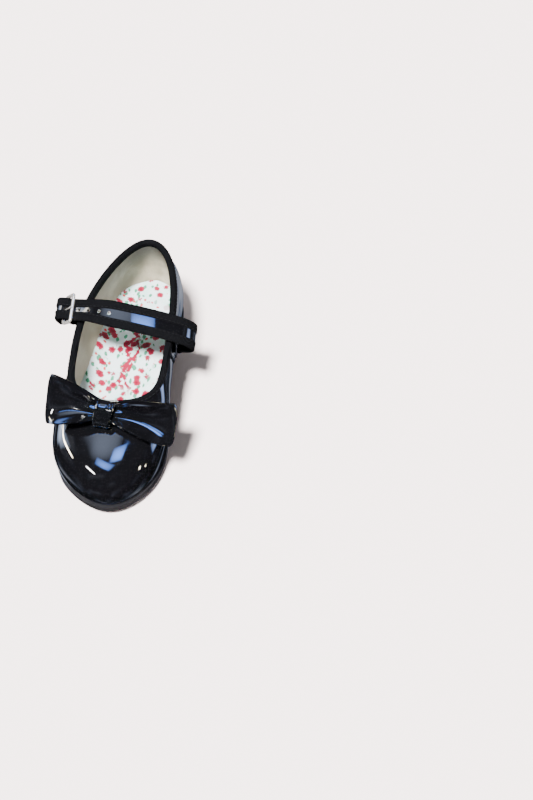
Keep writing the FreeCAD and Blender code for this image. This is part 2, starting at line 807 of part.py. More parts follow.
def strap_hole_tools():
    """Punches for the holes, the first of them a slot that the prong leans through."""
    tools = []
    radius, depth, first_gap = 0.5 * size("strap_hole_diameter"), 5.0, size("strap_first_hole_gap")
    crossing = 0.5 * (FRONT_BAR[0] + PIN_BAR[0])
    for i in range(5):
        place, along = strap_direction(crossing + size("strap_hole_pitch") * (i + (first_gap if i else 0.0)))
        normal, stretch = V(0, -along.y, along.x), V(0, along.x, along.y)
        centre = V(strap_skew(place.x), place.x, place.y)
        reach = 0.0 if i else size("prong_slot_reach")
        for shift in (-reach, reach):
            tools.append(Part.makeCylinder(radius, 2 * depth, centre + stretch * shift - normal * depth,
                                           normal))
        if reach:
            slot = Part.makeBox(2 * radius, 2 * reach, 2 * depth, V(-radius, -reach, -depth))
            slot.Placement = FreeCAD.Placement(centre, FreeCAD.Rotation(V(1, 0, 0), stretch, normal, "ZXY"))
            tools.append(slot)
    return tools


def strap_piece(name, shape, across=0.0):
    """Strap pieces are drawn in a leaning plane, which their Placement sets up, shifted across it."""
    feature = doc.addObject("Part::Feature", name + "_feature")
    feature.Shape = shape
    lean = FreeCAD.Rotation(V(0, 1, 0), size("strap_lean"))
    foot = V(size("strap_foot") * size("last_length") / REFERENCE_LENGTH, 0, 0)
    place_piece(feature, name, lean, foot + lean.multVec(V(across, 0, 0)))


def make_strap():
    core, cover = 0.5 * size("strap_core_thickness"), size("strap_binding_thickness")
    skin = core + size("bond_gap")
    for name, points, tapered in (("strap_root", STRAP_ROOT, False), ("strap", STRAP_ARCH, True)):
        middle = strap_band(points, core, -core, askew(whole_width(cover + 0.05, tapered)))
        if tapered:
            middle = middle.cut(strap_hole_tools())
        strap_piece(name + "_patent", middle)
        strip = strap_outline(0.0, size("strap_binding_width"), tapered)
        groove = strap_outline(cover, size("strap_binding_width") + 1.0, tapered)
        for where, side in (("front", 1), ("rear", -1)):
            outside = strap_band(points, skin + cover, -skin - cover, askew(on_side(strip, side)))
            inside = strap_band(points, skin, -skin, askew(on_side(groove, side)))
            strap_piece(f"{name}_{where}_binding", outside.cut(inside))


def bar_offset(share, lift):
    """Place in the strap's plane: share of the way from pin bar to front bar, lifted off the frame."""
    along = (FRONT_BAR[0] - PIN_BAR[0], FRONT_BAR[1] - PIN_BAR[1])
    length = math.hypot(*along)
    out = (-along[1] / length, along[0] / length)
    return (PIN_BAR[0] + along[0] * share + out[0] * lift, PIN_BAR[1] + along[1] * share + out[1] * lift)


def round_bar(start, end, diameter):
    run = end - start
    return Part.makeCylinder(0.5 * diameter, run.Length, start, run)


def make_buckle():
    """Frame of round wire with flattened sides, and a prong that hooks round the pin bar."""
    bar = size("buckle_bar_diameter")
    half = size("strap_end_half_width") + size("buckle_side_gap") + 0.5 * bar
    front, pin = V(0, *FRONT_BAR), V(0, *PIN_BAR)
    side = V(half, 0, 0)
    corners = [front - side, front + side, pin + side, pin - side]
    frame = Part.makeSphere(0.5 * bar, corners[0])
    for i, corner in enumerate(corners):
        frame = frame.fuse([Part.makeSphere(0.5 * bar, corner), round_bar(corners[i - 1], corner, bar)])
    strap_piece("buckle_frame", frame.removeSplitter(), buckle_shift())
    prong = size("prong_diameter")
    eye = 0.5 * bar + size("pin_gap") + 0.5 * prong
    ring = Part.makeTorus(eye, 0.5 * prong, pin, V(1, 0, 0))
    over = 0.5 * (bar + prong) + 0.02
    length = math.hypot(FRONT_BAR[0] - PIN_BAR[0], FRONT_BAR[1] - PIN_BAR[1])
    route = [V(0, *bar_offset(*step)) for step in ((eye / length, 0.0), (1.0, over), (1.14, over - 0.1))]
    wire = ring
    for start, end in zip(route, route[1:]):
        wire = wire.fuse([round_bar(start, end, prong), Part.makeSphere(0.5 * prong, end),
                          Part.makeSphere(0.5 * prong, start)])
    strap_piece("buckle_prong", wire.removeSplitter(), buckle_shift())


def make_anchor_tab():
    """Folded tab: a loop round the pin bar with a slot for the prong, and a tail sewn to the quarter."""
    bar = 0.5 * size("buckle_bar_diameter")
    inside, thick = bar + size("pin_gap"), size("tab_thickness")
    half = size("tab_half_width")
    centre = V(-half, *PIN_BAR)
    loop = Part.makeCylinder(inside + thick, 2 * half, centre, V(1, 0, 0))
    far = 80.0
    plan = [(-half, -far), (half, -far), (half, 0), (-half, 0)]
    tail = strap_band(TAB_TAIL, 0.5 * thick, -0.5 * thick, plan)
    hollow = Part.makeCylinder(inside, 2 * half, centre, V(1, 0, 0))
    slot_half = 0.5 * size("prong_diameter") + size("pin_gap") + 0.2
    reach = inside + thick + 1.0
    slot = Part.makeBox(2 * slot_half, 2 * reach, 2 * reach,
                        V(-slot_half, PIN_BAR[0] - reach, PIN_BAR[1] - reach))
    strap_piece("anchor_tab", loop.fuse(tail).cut([hollow, slot]), buckle_shift())


# ---------------------------------------------------------------- bow

def bow_frame():
    """Bow's own axes: x along the bow, y up the ribbon, z out of its face."""
    rise, turn = math.radians(size("bow_rise")), math.radians(size("bow_turn"))
    up, across = V(-math.cos(rise), 0, math.sin(rise)), V(0, 1, 0)
    along = across * math.cos(turn) - up * math.sin(turn)
    ribbon = up * math.cos(turn) + across * math.sin(turn)
    face = along.cross(ribbon)
    lift = size("topline_throat") - REFERENCE_THROAT
    base = V(size("bow_x") * size("last_length") / REFERENCE_LENGTH, size("bow_y"), size("bow_z") + lift)
    return FreeCAD.Rotation(along, ribbon, face, "XYZ"), base


def ellipse_section(body, distance, width, depth, middle=0.0):
    sketch = new_sketch(body, "YZ_Plane", height=distance)
    draw(sketch, Part.Ellipse(V(middle, 0, 0), 0.5 * width, 0.5 * depth))
    return sketch


def make_bow():
    turn, base = bow_frame()
    for side, which in ((1, "medial"), (-1, "lateral")):
        name = f"bow_{which}_loop"
        body = new_body(name)
        pinch, end, rise = size("bow_pinch_width"), size(f"bow_{which}_end_width"), size(f"bow_{which}_rise")
        reach = f"{side} * Sizes.bow_{which}_length"
        start = ellipse_section(body, f"{side} * (Sizes.knot_width / 2 + 0.1)", pinch, 0.55 * pinch)
        middle = ellipse_section(body, f"{reach} * 0.55", 0.78 * end, size("bow_loop_depth"), 0.5 * rise)
        tip = ellipse_section(body, reach, end, 0.35 * size("bow_loop_depth"), rise)
        loft = body.newObject("PartDesign::AdditiveLoft", "loft")
        loft.Profile = start
        loft.Sections = [middle, tip]
        place_piece(body, name, turn, base)
    body = new_body("bow_knot")
    sketch = new_sketch(body, "YZ_Plane", height="-Sizes.knot_width / 2")
    half_length, half_depth = 0.5 * size("knot_length"), 0.5 * size("knot_depth")
    draw(sketch, Part.Ellipse(V(0, 0, 0), half_length, half_depth))
    base_pad = pad(body, sketch, "Sizes.knot_width")
    fillet(body, base_pad, "Sizes.knot_depth * 0.2", lambda edge: True)
    place_piece(body, "bow_knot", turn, base)
    return body


def make_tack(knot, vamp):
    """Stitch that ties the knot down to the throat, filling just the gap between them."""
    back = V(size("heel_centre"), 0, 0)
    place = knot.Placement.Base + back
    knot_shape, vamp_shape = knot.Shape.translated(back), vamp.Shape.translated(back)
    post = Part.makeCylinder(0.5 * size("bow_tack_diameter"), size("knot_length"),
                             place + V(-0.2 * size("knot_width"), 0, -size("knot_length")))
    stub = post.cut([knot_shape, vamp_shape])
    near = [solid for solid in stub.Solids if solid.BoundBox.ZMax < place.z
            and solid.distToShape(knot_shape)[0] < 0.01]
    feature = doc.addObject("Part::Feature", "bow_tack_feature")
    feature.Shape = near[0]
    place_piece(feature, "bow_tack")


# ---------------------------------------------------------------- build and write

def make_sole():
    outsole, insole = size("outsole_thickness"), size("insole_thickness")
    bond = size("bond_gap")
    sock_low = outsole + insole + 2.5 * bond
    make_slab("outsole", 0.0, outsole, -size("outsole_ledge"), outsole_cuts)
    make_slab("insole_board", outsole + bond, outsole + insole, inside_inset(), insole_cuts)
    make_slab("sock_liner", sock_low, sock_low + size("sock_thickness"), inside_inset() + 0.1)
    make_shank()
    toe_holes = toe_screw_places().values()
    heel_holes = heel_screw_places().values()
    rear = size("toe_tap_rear")
    make_plate("toe_tap", end_outline(rear, size("toe_tap_inset"), toe=True, bow=-size("tap_front_bow")), "0",
               "Sizes.toe_tap_thickness", toe_holes, True, "Sizes.tap_rim_radius")
    board_rear = rear - size("tap_board_overlap")
    board_outline = end_outline(board_rear, size("tap_board_inset"), toe=True, bow=-size("tap_board_overlap"))
    make_plate("toe_tap_board", board_outline, "Sizes.toe_tap_thickness", "Sizes.tap_board_thickness",
               toe_holes)
    tap_front = size("breast_station") - size("heel_tap_setback")
    make_plate("heel_tap", end_outline(tap_front, size("heel_taper") + size("heel_tap_inset")), "0",
               "Sizes.heel_tap_thickness", heel_holes, True, "Sizes.tap_rim_radius")
    lift_outline = end_outline(size("breast_station") - size("heel_breast_setback"),
                               size("heel_taper") - size("heel_lift_flare"))
    make_plate("heel_lift", lift_outline, "Sizes.heel_tap_thickness", "Sizes.heel_lift_thickness", heel_holes)
    make_heel_block()
    make_tap_screws()
    make_heel_fixings()


make_sole()
vamp_piece = make_upper()
make_strap()
make_buckle()
make_anchor_tab()
knot_piece = make_bow()
doc.recompute()
make_tack(knot_piece, vamp_piece)
doc.recompute()

for item in doc.Objects:
    if "Invalid" in item.State or "Error" in item.State:
        raise RuntimeError(f"{item.Label} failed: {item.State}")
os.makedirs("parts", exist_ok=True)
for piece in pieces:
    shape = piece.Shape
    if shape.isNull() or not shape.isValid() or shape.Volume <= 0:
        raise RuntimeError(f"{piece.Label} has a bad shape")
    shape.exportStep(os.path.join("parts", piece.Label + ".step"))
    print(piece.Label, round(shape.Volume, 1))
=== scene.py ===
import sys
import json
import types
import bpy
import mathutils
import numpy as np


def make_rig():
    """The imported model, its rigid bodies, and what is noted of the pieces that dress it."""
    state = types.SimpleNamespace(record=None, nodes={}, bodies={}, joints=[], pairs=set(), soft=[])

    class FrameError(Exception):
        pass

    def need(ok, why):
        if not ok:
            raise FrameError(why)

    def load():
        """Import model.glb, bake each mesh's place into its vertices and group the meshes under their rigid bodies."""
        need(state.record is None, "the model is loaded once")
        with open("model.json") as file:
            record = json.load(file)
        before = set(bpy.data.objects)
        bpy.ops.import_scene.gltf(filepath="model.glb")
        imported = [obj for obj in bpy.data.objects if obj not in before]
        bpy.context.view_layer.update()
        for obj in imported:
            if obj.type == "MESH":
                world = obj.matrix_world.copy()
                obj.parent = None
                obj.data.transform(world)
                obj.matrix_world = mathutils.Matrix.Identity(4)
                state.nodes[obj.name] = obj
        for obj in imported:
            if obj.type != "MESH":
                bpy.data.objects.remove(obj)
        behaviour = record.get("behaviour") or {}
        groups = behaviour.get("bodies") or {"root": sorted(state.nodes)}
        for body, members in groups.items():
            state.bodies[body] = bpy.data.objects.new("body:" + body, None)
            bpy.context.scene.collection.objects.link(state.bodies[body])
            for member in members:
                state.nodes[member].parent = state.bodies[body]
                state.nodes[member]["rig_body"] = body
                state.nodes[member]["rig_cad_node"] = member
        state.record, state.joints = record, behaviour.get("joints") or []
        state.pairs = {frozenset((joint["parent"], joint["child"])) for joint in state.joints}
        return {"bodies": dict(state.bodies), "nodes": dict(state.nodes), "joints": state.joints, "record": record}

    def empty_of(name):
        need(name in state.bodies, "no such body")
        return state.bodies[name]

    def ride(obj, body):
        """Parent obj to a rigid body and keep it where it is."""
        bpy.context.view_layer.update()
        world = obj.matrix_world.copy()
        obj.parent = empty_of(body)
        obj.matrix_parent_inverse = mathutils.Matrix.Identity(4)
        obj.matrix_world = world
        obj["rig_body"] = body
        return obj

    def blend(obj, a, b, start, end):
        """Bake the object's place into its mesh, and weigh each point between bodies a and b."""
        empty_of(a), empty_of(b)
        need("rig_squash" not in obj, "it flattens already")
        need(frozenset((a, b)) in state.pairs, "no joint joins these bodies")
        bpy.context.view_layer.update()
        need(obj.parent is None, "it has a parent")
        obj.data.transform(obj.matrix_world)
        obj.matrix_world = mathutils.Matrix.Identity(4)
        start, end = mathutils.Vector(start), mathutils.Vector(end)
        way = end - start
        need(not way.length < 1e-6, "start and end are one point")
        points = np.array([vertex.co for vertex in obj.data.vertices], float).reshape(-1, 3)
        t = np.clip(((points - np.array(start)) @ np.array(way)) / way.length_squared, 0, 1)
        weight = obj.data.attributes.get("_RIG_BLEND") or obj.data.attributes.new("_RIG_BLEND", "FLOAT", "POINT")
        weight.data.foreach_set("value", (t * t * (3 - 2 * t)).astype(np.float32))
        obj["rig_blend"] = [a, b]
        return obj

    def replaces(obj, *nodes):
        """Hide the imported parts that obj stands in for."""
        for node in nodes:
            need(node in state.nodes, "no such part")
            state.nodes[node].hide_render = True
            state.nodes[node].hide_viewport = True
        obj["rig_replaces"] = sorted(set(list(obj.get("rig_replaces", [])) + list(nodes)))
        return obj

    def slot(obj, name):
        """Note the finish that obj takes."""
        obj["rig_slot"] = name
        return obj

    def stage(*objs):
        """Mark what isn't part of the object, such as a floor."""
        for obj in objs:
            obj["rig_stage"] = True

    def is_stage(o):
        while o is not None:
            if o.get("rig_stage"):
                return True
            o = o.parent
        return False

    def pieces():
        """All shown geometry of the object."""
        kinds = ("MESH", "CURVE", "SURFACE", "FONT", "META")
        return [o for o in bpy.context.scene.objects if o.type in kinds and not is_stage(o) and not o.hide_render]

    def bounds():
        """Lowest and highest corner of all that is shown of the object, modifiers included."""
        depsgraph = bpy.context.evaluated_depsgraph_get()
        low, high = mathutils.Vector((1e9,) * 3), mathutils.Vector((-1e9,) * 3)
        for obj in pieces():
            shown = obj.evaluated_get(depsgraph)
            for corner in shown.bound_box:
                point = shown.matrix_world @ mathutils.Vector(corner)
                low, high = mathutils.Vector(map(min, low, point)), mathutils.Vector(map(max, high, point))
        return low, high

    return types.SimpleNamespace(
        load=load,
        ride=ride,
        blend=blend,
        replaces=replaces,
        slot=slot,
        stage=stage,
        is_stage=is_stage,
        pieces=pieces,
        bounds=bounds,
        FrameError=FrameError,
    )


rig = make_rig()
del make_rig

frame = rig.load()

import json
import math

import bpy
import numpy as np
from mathutils import Matrix, Vector

bl_info = {
    "name": "Child's tap shoe",
    "version": (1, 0, 0),
    "blender": (4, 5, 0),
    "location": "3D View > Sidebar > Tap shoe",
    "description": "Builds a patent tap shoe with strap, buckle, bow and taps",
    "category": "Add Mesh",
}

CAD_BOX = [list(corner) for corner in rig.bounds()]


# ---------------------------------------------------------------- sizes and colours

def length(name, text, default):
    return bpy.props.FloatProperty(name=name, description=text, default=default, unit="LENGTH", precision=5)


def colour(name, text, default):
    return bpy.props.FloatVectorProperty(name=name, description=text, default=default, subtype="COLOR",
                                         size=3, min=0.0, max=1.0)


class TapShoeSizes(bpy.types.PropertyGroup):
    """Sizes of the modelled pieces."""
    patent_thickness: length("Patent", "Thickness of the patent leather", 0.0012)
    lining_thickness: length("Lining", "Thickness of the lining", 0.0008)
    binding_height: length("Binding height", "Width of the topline binding that shows", 0.0042)
    seam_lap: length("Seam lap", "How far a quarter laps over the vamp", 0.006)
    stitch_pitch: length("Stitch pitch", "Distance from stitch to stitch", 0.0026)
    stitch_radius: length("Thread radius", "Half the thread's thickness", 0.00019)
    strap_half_width: length("Strap half width", "Half the strap's width at the root", 0.0083)
    strap_end_half_width: length("Strap end half width", "Half the strap's width at the buckle", 0.0069)
    strap_binding_width: length("Strap binding width", "Width of the textile along each strap edge", 0.0056)
    buckle_bar: length("Buckle bar", "Thickness of the buckle's bars", 0.0016)
    bow_medial_length: length("Medial loop", "From the bow's middle to the medial loop's end", 0.0415)
    bow_lateral_length: length("Lateral loop", "From the bow's middle to the lateral loop's end", 0.035)
    bow_medial_end: length("Medial loop end", "Width of the medial loop at its end", 0.0246)
    bow_lateral_end: length("Lateral loop end", "Width of the lateral loop at its end", 0.0286)
    knot_width: length("Knot width", "Width of the band round the bow's middle", 0.0108)


class TapShoeColours(bpy.types.PropertyGroup):
    """Colours of the finishes."""
    patent: colour("Patent", "Patent leather", (0.0020, 0.0021, 0.0027))
    textile: colour("Binding", "Textile binding", (0.0012, 0.0013, 0.0016))
    lining: colour("Lining", "Leather-look lining", (0.40, 0.36, 0.275))
    sock: colour("Sock", "Ground of the printed sock", (0.54, 0.63, 0.66))
    rose: colour("Rose", "Printed roses", (0.15, 0.002, 0.016))
    leaf: colour("Leaf", "Printed leaves", (0.025, 0.15, 0.08))
    floor: colour("Floor", "Stage floor", (0.80, 0.715, 0.71))


# ---------------------------------------------------------------- the last's surface, in millimetres

HEEL_CENTRE = 24.0
BALL, BREAST = 106.0, 50.0
BALL_HEIGHT, BREAST_HEIGHT, BACK_HEIGHT = 5.0, 14.0, 18.5
OUTSOLE = 3.5
TOPLINE_MARKS = ((4.5, 64.0), (75.0, 56.3), (121.3, 45.0))
# Feather line x and y, topline x and y, bulge and its height, from the toe round by the medial side.
STATIONS = [
    (171.5, 3.0, 121.3, 1.0, 4.0, 26.0),
    (166.5, 16.5, 119.8, 12.5, 4.5, 25.5),
    (151.0, 27.5, 115.5, 22.0, 6.0, 24.0),
    (128.0, 30.5, 106.5, 28.0, 6.0, 22.0),
    (102.0, 25.5, 92.5, 29.8, 5.0, 18.0),
    (76.0, 22.4, 75.0, 29.2, 4.0, 16.0),
    (50.0, 22.0, 53.0, 27.3, 4.0, 17.0),
    (24.0, 21.5, 29.0, 22.0, 5.0, 18.0),
    (6.0, 13.5, 11.0, 13.0, 5.5, 19.0),
    (0.0, 0.0, 4.5, 2.5, 6.0, 20.0),
    (6.0, -13.5, 10.0, -8.0, 5.5, 19.0),
    (24.0, -21.5, 28.0, -18.5, 5.0, 18.0),
    (50.0, -24.0, 53.0, -26.5, 4.0, 17.0),
    (76.0, -26.5, 75.0, -29.0, 4.0, 16.0),
    (102.0, -31.0, 92.5, -28.3, 5.0, 18.0),
    (128.0, -32.0, 106.5, -26.0, 6.0, 22.0),
    (150.0, -28.5, 115.5, -19.5, 6.0, 24.0),
    (166.0, -12.5, 119.8, -9.5, 4.5, 25.5),
]
COUNT = len(STATIONS)


def metres(point):
    """From the drawing's millimetres, with x from the heel's back edge, to the frame's metres."""
    return Vector(((point[0] - HEEL_CENTRE) / 1000.0, point[1] / 1000.0, point[2] / 1000.0))


def bezier(poles, share):
    rest = 1.0 - share
    weights = (rest ** 3, 3 * share * rest ** 2, 3 * share ** 2 * rest, share ** 3)
    return [sum(weight * pole[axis] for weight, pole in zip(weights, poles))
            for axis in range(len(poles[0]))]


def waist_line():
    """Underside from the ball back to the heel breast, as x and height arrays."""
    slope = (BACK_HEIGHT - BREAST_HEIGHT) / BREAST
    reach = 0.4 * (BALL - BREAST)
    poles = [(BALL, BALL_HEIGHT), (BALL - reach, BALL_HEIGHT),
             (BREAST + reach, BREAST_HEIGHT - slope * reach), (BREAST, BREAST_HEIGHT)]
    points = sorted(tuple(bezier(poles, i / 120)) for i in range(121))
    return [p[0] for p in points], [p[1] for p in points], slope


WAIST_X, WAIST_Z, HEEL_SLOPE = waist_line()


def underside(x):
    if x <= BREAST:
        return BREAST_HEIGHT + HEEL_SLOPE * (BREAST - x)
    return float(np.interp(x, WAIST_X, WAIST_Z))


def feather(x):
    return underside(x) + OUTSOLE


def topline(x):
    total = 0.0
    for i, (xi, zi) in enumerate(TOPLINE_MARKS):
        share = zi
        for j, (xj, _) in enumerate(TOPLINE_MARKS):
            if i != j:
                share *= (x - xj) / (xi - xj)
        total += share
    return total


def closed_poles(points):
    """Poles of a closed uniform cubic B-spline through the points."""
    poles = [list(point) for point in points]
    for _ in range(30):
        for i in range(COUNT):
            before, after = poles[i - 1], poles[(i + 1) % COUNT]
            poles[i] = [1.5 * points[i][k] - 0.25 * (before[k] + after[k]) for k in range(len(points[i]))]
    return poles


def closed_point(poles, turn):
    place = (turn % 1.0) * COUNT
    i, t = int(place) % COUNT, place - int(place)
    weights = ((1 - t) ** 3 / 6, (3 * t ** 3 - 6 * t * t + 4) / 6,
               (-3 * t ** 3 + 3 * t * t + 3 * t + 1) / 6, t ** 3 / 6)
    near = (poles[i - 1], poles[i], poles[(i + 1) % COUNT], poles[(i + 2) % COUNT])
    return [sum(weight * pole[k] for weight, pole in zip(weights, near)) for k in range(len(poles[0]))]


def sideways(before, after):
    """Unit step in the plane, to the right of the way from one point to the next."""
    run = math.hypot(after[0] - before[0], after[1] - before[1])
    return (after[1] - before[1]) / run, (before[0] - after[0]) / run


def squared(value, power):
    """A sine or cosine raised to a power with its sign kept, which squares off a round section."""
    return math.copysign(abs(value) ** power, value)


def last_poles():
    feet = [(x, y) for x, y, _, _, _, _ in STATIONS]
    foot = closed_poles(feet)
    rises, leans, tops = [], [], []
    for i, (x, y, top_x, top_y, bulge, rise) in enumerate(STATIONS):
        before, after = closed_point(foot, (i - 0.01) / COUNT), closed_point(foot, (i + 0.01) / COUNT)
        out = sideways(before, after)
        rises.append((x + out[0] * bulge, y + out[1] * bulge, feather(x) + rise))
        top = (top_x, top_y, topline(top_x))
        tops.append(top)
        angle = 2 * math.pi * i / COUNT
        toe, heel = max(0.0, math.cos(angle)) ** 1.5, max(0.0, -math.cos(angle)) ** 2
        leans.append((top[0] + 24 * toe - 5 * heel, top[1] + (3 + 12 * toe) * math.sin(angle),
                      top[2] - 17 + 8 * toe))
    return foot, closed_poles(rises), closed_poles(leans), closed_poles(tops)


LAST = last_poles()


def last_point(turn, share):
    """Outer face of the upper: turn goes round from the toe, share from feather line to topline."""
    x, y = closed_point(LAST[0], turn)
    poles = [(x, y, feather(x))] + [closed_point(poles, turn) for poles in LAST[1:]]
    return Vector(bezier(poles, share))


def last_normal(turn, share):
    step = 0.002
    low, high = max(0.0, share - step), min(1.0, share + step)
    along = last_point(turn + step, share) - last_point(turn - step, share)
    up = last_point(turn, high) - last_point(turn, low)
    return along.cross(up).normalized()


TOP_SLOPES = [(last_point(i / 360, 1.0) - last_point(i / 360, 0.98)).length / 0.02 for i in range(360)]


def below_topline(turn, distance):
    """Share at which the surface is this far below the topline."""
    place = (turn % 1.0) * 360
    i = int(place) % 360
    slope = TOP_SLOPES[i] + (TOP_SLOPES[(i + 1) % 360] - TOP_SLOPES[i]) * (place - int(place))
    return 1.0 - distance / slope


def smooth(low, high, value):
    share = min(1.0, max(0.0, (value - low) / (high - low)))
    return share * share * (3 - 2 * share)


def turn_gap(turn, middle):
    return (turn - middle + 0.5) % 1.0 - 0.5


# Soft dents and swells of the leather: turn, share, reach in turns, reach in shares, millimetres outwards.
DENTS = [
    (0.315, 0.60, 0.030, 0.20, -0.9), (0.375, 0.42, 0.028, 0.22, -0.55), (0.345, 0.80, 0.022, 0.16, 0.45),
    (0.270, 0.30, 0.022, 0.20, -0.45), (0.210, 0.45, 0.026, 0.18, -0.50), (0.165, 0.72, 0.022, 0.14, 0.30),
    (0.430, 0.62, 0.030, 0.20, 0.35), (0.685, 0.60, 0.030, 0.20, -0.8), (0.625, 0.42, 0.028, 0.22, -0.55),
    (0.655, 0.80, 0.022, 0.16, 0.45), (0.735, 0.30, 0.022, 0.20, -0.45), (0.790, 0.45, 0.026, 0.18, -0.45),
    (0.570, 0.62, 0.030, 0.20, 0.30), (0.120, 0.55, 0.020, 0.16, -0.20), (0.880, 0.52, 0.020, 0.16, -0.18),
]


def leather(turn, share):
    """How far the soft upper stands off the last, in millimetres."""
    swell = 0.0
    for middle, height, reach, rise, amount in DENTS:
        swell += amount * math.exp(-(turn_gap(turn, middle) / reach) ** 2 - ((share - height) / rise) ** 2)
    side = math.sin(math.pi * share) * abs(math.sin(2 * math.pi * turn))
    swell += 0.10 * side * math.sin(41 * turn * math.pi + 5 * share)
    return swell * smooth(0.0, 0.12, share) * smooth(1.0, 0.86, share)


def upper_point(turn, share, depth):
    """Point of the upper at a depth outwards from the last."""
    return last_point(turn, share) + last_normal(turn, share) * (depth + leather(turn, share))


# ---------------------------------------------------------------- mesh helpers

def deselect():
    if bpy.context.object and bpy.context.object.mode != "OBJECT":
        bpy.ops.object.mode_set(mode="OBJECT")
    bpy.ops.object.select_all(action="DESELECT")


def pick(obj):
    deselect()
    obj.select_set(True)
    bpy.context.view_layer.objects.active = obj


def added(name):
    """The primitive just added, under its own name."""
    obj = bpy.context.object
    obj.name = obj.data.name = name
    return obj


def edit_all(obj, *steps):
    """Edit mode with all selected: each step is an operator and its settings."""
    pick(obj)
    bpy.ops.object.mode_set(mode="EDIT")
    for operator, settings in steps:
        bpy.ops.mesh.select_all(action="SELECT")
        operator(**settings)
    bpy.ops.object.mode_set(mode="OBJECT")


def weld(obj, gap=2e-6):
    edit_all(obj, (bpy.ops.mesh.remove_doubles, {"threshold": gap}))


def face_outwards(obj):
    edit_all(obj, (bpy.ops.mesh.normals_make_consistent, {"inside": False}))


def modify(obj, kind, **settings):
    pick(obj)
    modifier = obj.modifiers.new(kind.title(), kind)
    for name, value in settings.items():
        setattr(modifier, name, value)
    bpy.ops.object.modifier_apply(modifier=modifier.name)


def walled(obj, thickness, edge, segments=3, sharp=50.0, **settings):
    """Gives a skin its thickness and softens its cut edges."""
    modify(obj, "SOLIDIFY", thickness=thickness, **settings)
    modify(obj, "BEVEL", width=edge, segments=segments, limit_method="ANGLE", angle_limit=math.radians(sharp))


def rounded(obj, angle):
    pick(obj)
    bpy.ops.object.shade_smooth_by_angle(angle=math.radians(angle))


def laid_grid(name, columns, rows, place, closed=False):
    """Grid laid over a surface: place(u, v) gives each point in the drawing's millimetres."""
    deselect()
    bpy.ops.mesh.primitive_grid_add(x_subdivisions=columns, y_subdivisions=rows, size=1.0)
    obj = added(name)
    for vertex in obj.data.vertices:
        vertex.co = metres(place(vertex.co.x + 0.5, vertex.co.y + 0.5))
    if closed:
        weld(obj)
    return obj


def loft(name, sections, capped=True):
    """Closed sections of equal point counts, skinned in order and capped."""
    rows, count = len(sections) - 1, len(sections[0])
    obj = laid_grid(name, rows, count, lambda u, v: sections[round(u * rows)][round(v * count) % count])
    weld(obj)
    if capped:
        pick(obj)
        bpy.ops.object.mode_set(mode="EDIT")
        bpy.ops.mesh.select_mode(type="EDGE")
        bpy.ops.mesh.select_all(action="DESELECT")
        bpy.ops.mesh.select_non_manifold(extend=False, use_wire=False, use_multi_face=False,
                                         use_non_contiguous=False, use_verts=False)
        bpy.ops.mesh.fill_holes(sides=0)
        bpy.ops.mesh.select_mode(type="VERT")
        bpy.ops.object.mode_set(mode="OBJECT")
    face_outwards(obj)
    return obj


def join(name, *objects):
    pick(objects[0])
    for obj in objects[1:]:
        obj.select_set(True)
    bpy.ops.object.join()
    obj = bpy.context.object
    obj.name = obj.data.name = name
    return obj


def subtract(obj, *cutters):
    for cutter in cutters:
        modify(obj, "BOOLEAN", operation="DIFFERENCE", object=cutter, solver="EXACT")
        bpy.data.objects.remove(cutter)


def stitches(name, places):
    """Thread along a line of (point, outward normal) pairs, in millimetres: a stitch, a gap, a stitch."""
    sizes = bpy.context.scene.tap_shoe_sizes
    radius = sizes.stitch_radius * 1000
    deselect()
    bpy.ops.mesh.primitive_uv_sphere_add(segments=8, ring_count=6, radius=1.0)
    one = added(name + "_one")
    shape = [vertex.co.copy() for vertex in one.data.vertices]
    faces = [tuple(face.vertices) for face in one.data.polygons]
    bpy.data.objects.remove(one)
    points = [np.array(point) for point, _ in places]
    runs = np.concatenate([[0.0], np.cumsum([np.linalg.norm(b - a) for a, b in zip(points, points[1:])])])
    pitch = sizes.stitch_pitch * 1000
    verts, polygons = [], []
    for i in range(int(runs[-1] / pitch)):
        middle = (i + 0.5) * pitch
        at = [Vector([float(np.interp(middle + shift, runs, [p[k] for p in points])) for k in range(3)])
              for shift in (-0.33 * pitch, 0.0, 0.33 * pitch)]
        near = int(np.searchsorted(runs, middle))
        normal = Vector(places[min(near, len(places) - 1)][1]).normalized()
        along = (at[2] - at[0]).normalized()
        across = normal.cross(along).normalized()
        half = 0.36 * pitch
        start = len(verts)
        for corner in shape:
            offset = along * corner.z * half + across * corner.x * radius + normal * corner.y * radius
            verts.append(metres(at[1] + normal * 0.3 * radius + offset))
        polygons += [tuple(start + index for index in face) for face in faces]
    mesh = bpy.data.meshes.new(name)
    mesh.from_pydata(verts, [], polygons)
    obj = bpy.data.objects.new(name, mesh)
    bpy.context.scene.collection.objects.link(obj)
    face_outwards(obj)
    rounded(obj, 60)
    return obj


def settle(obj, material, slot, body="shoe", replaced=()):
    """Gives a finished piece its finish, its CAD body and the CAD nodes that it stands for."""
    if not obj.data.materials:
        obj.data.materials.append(material)
    obj.data.materials[0] = material
    if body:
        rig.ride(obj, body)
    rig.slot(obj, slot)
    if replaced:
        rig.replaces(obj, *replaced)
    return obj


# ---------------------------------------------------------------- shader helpers

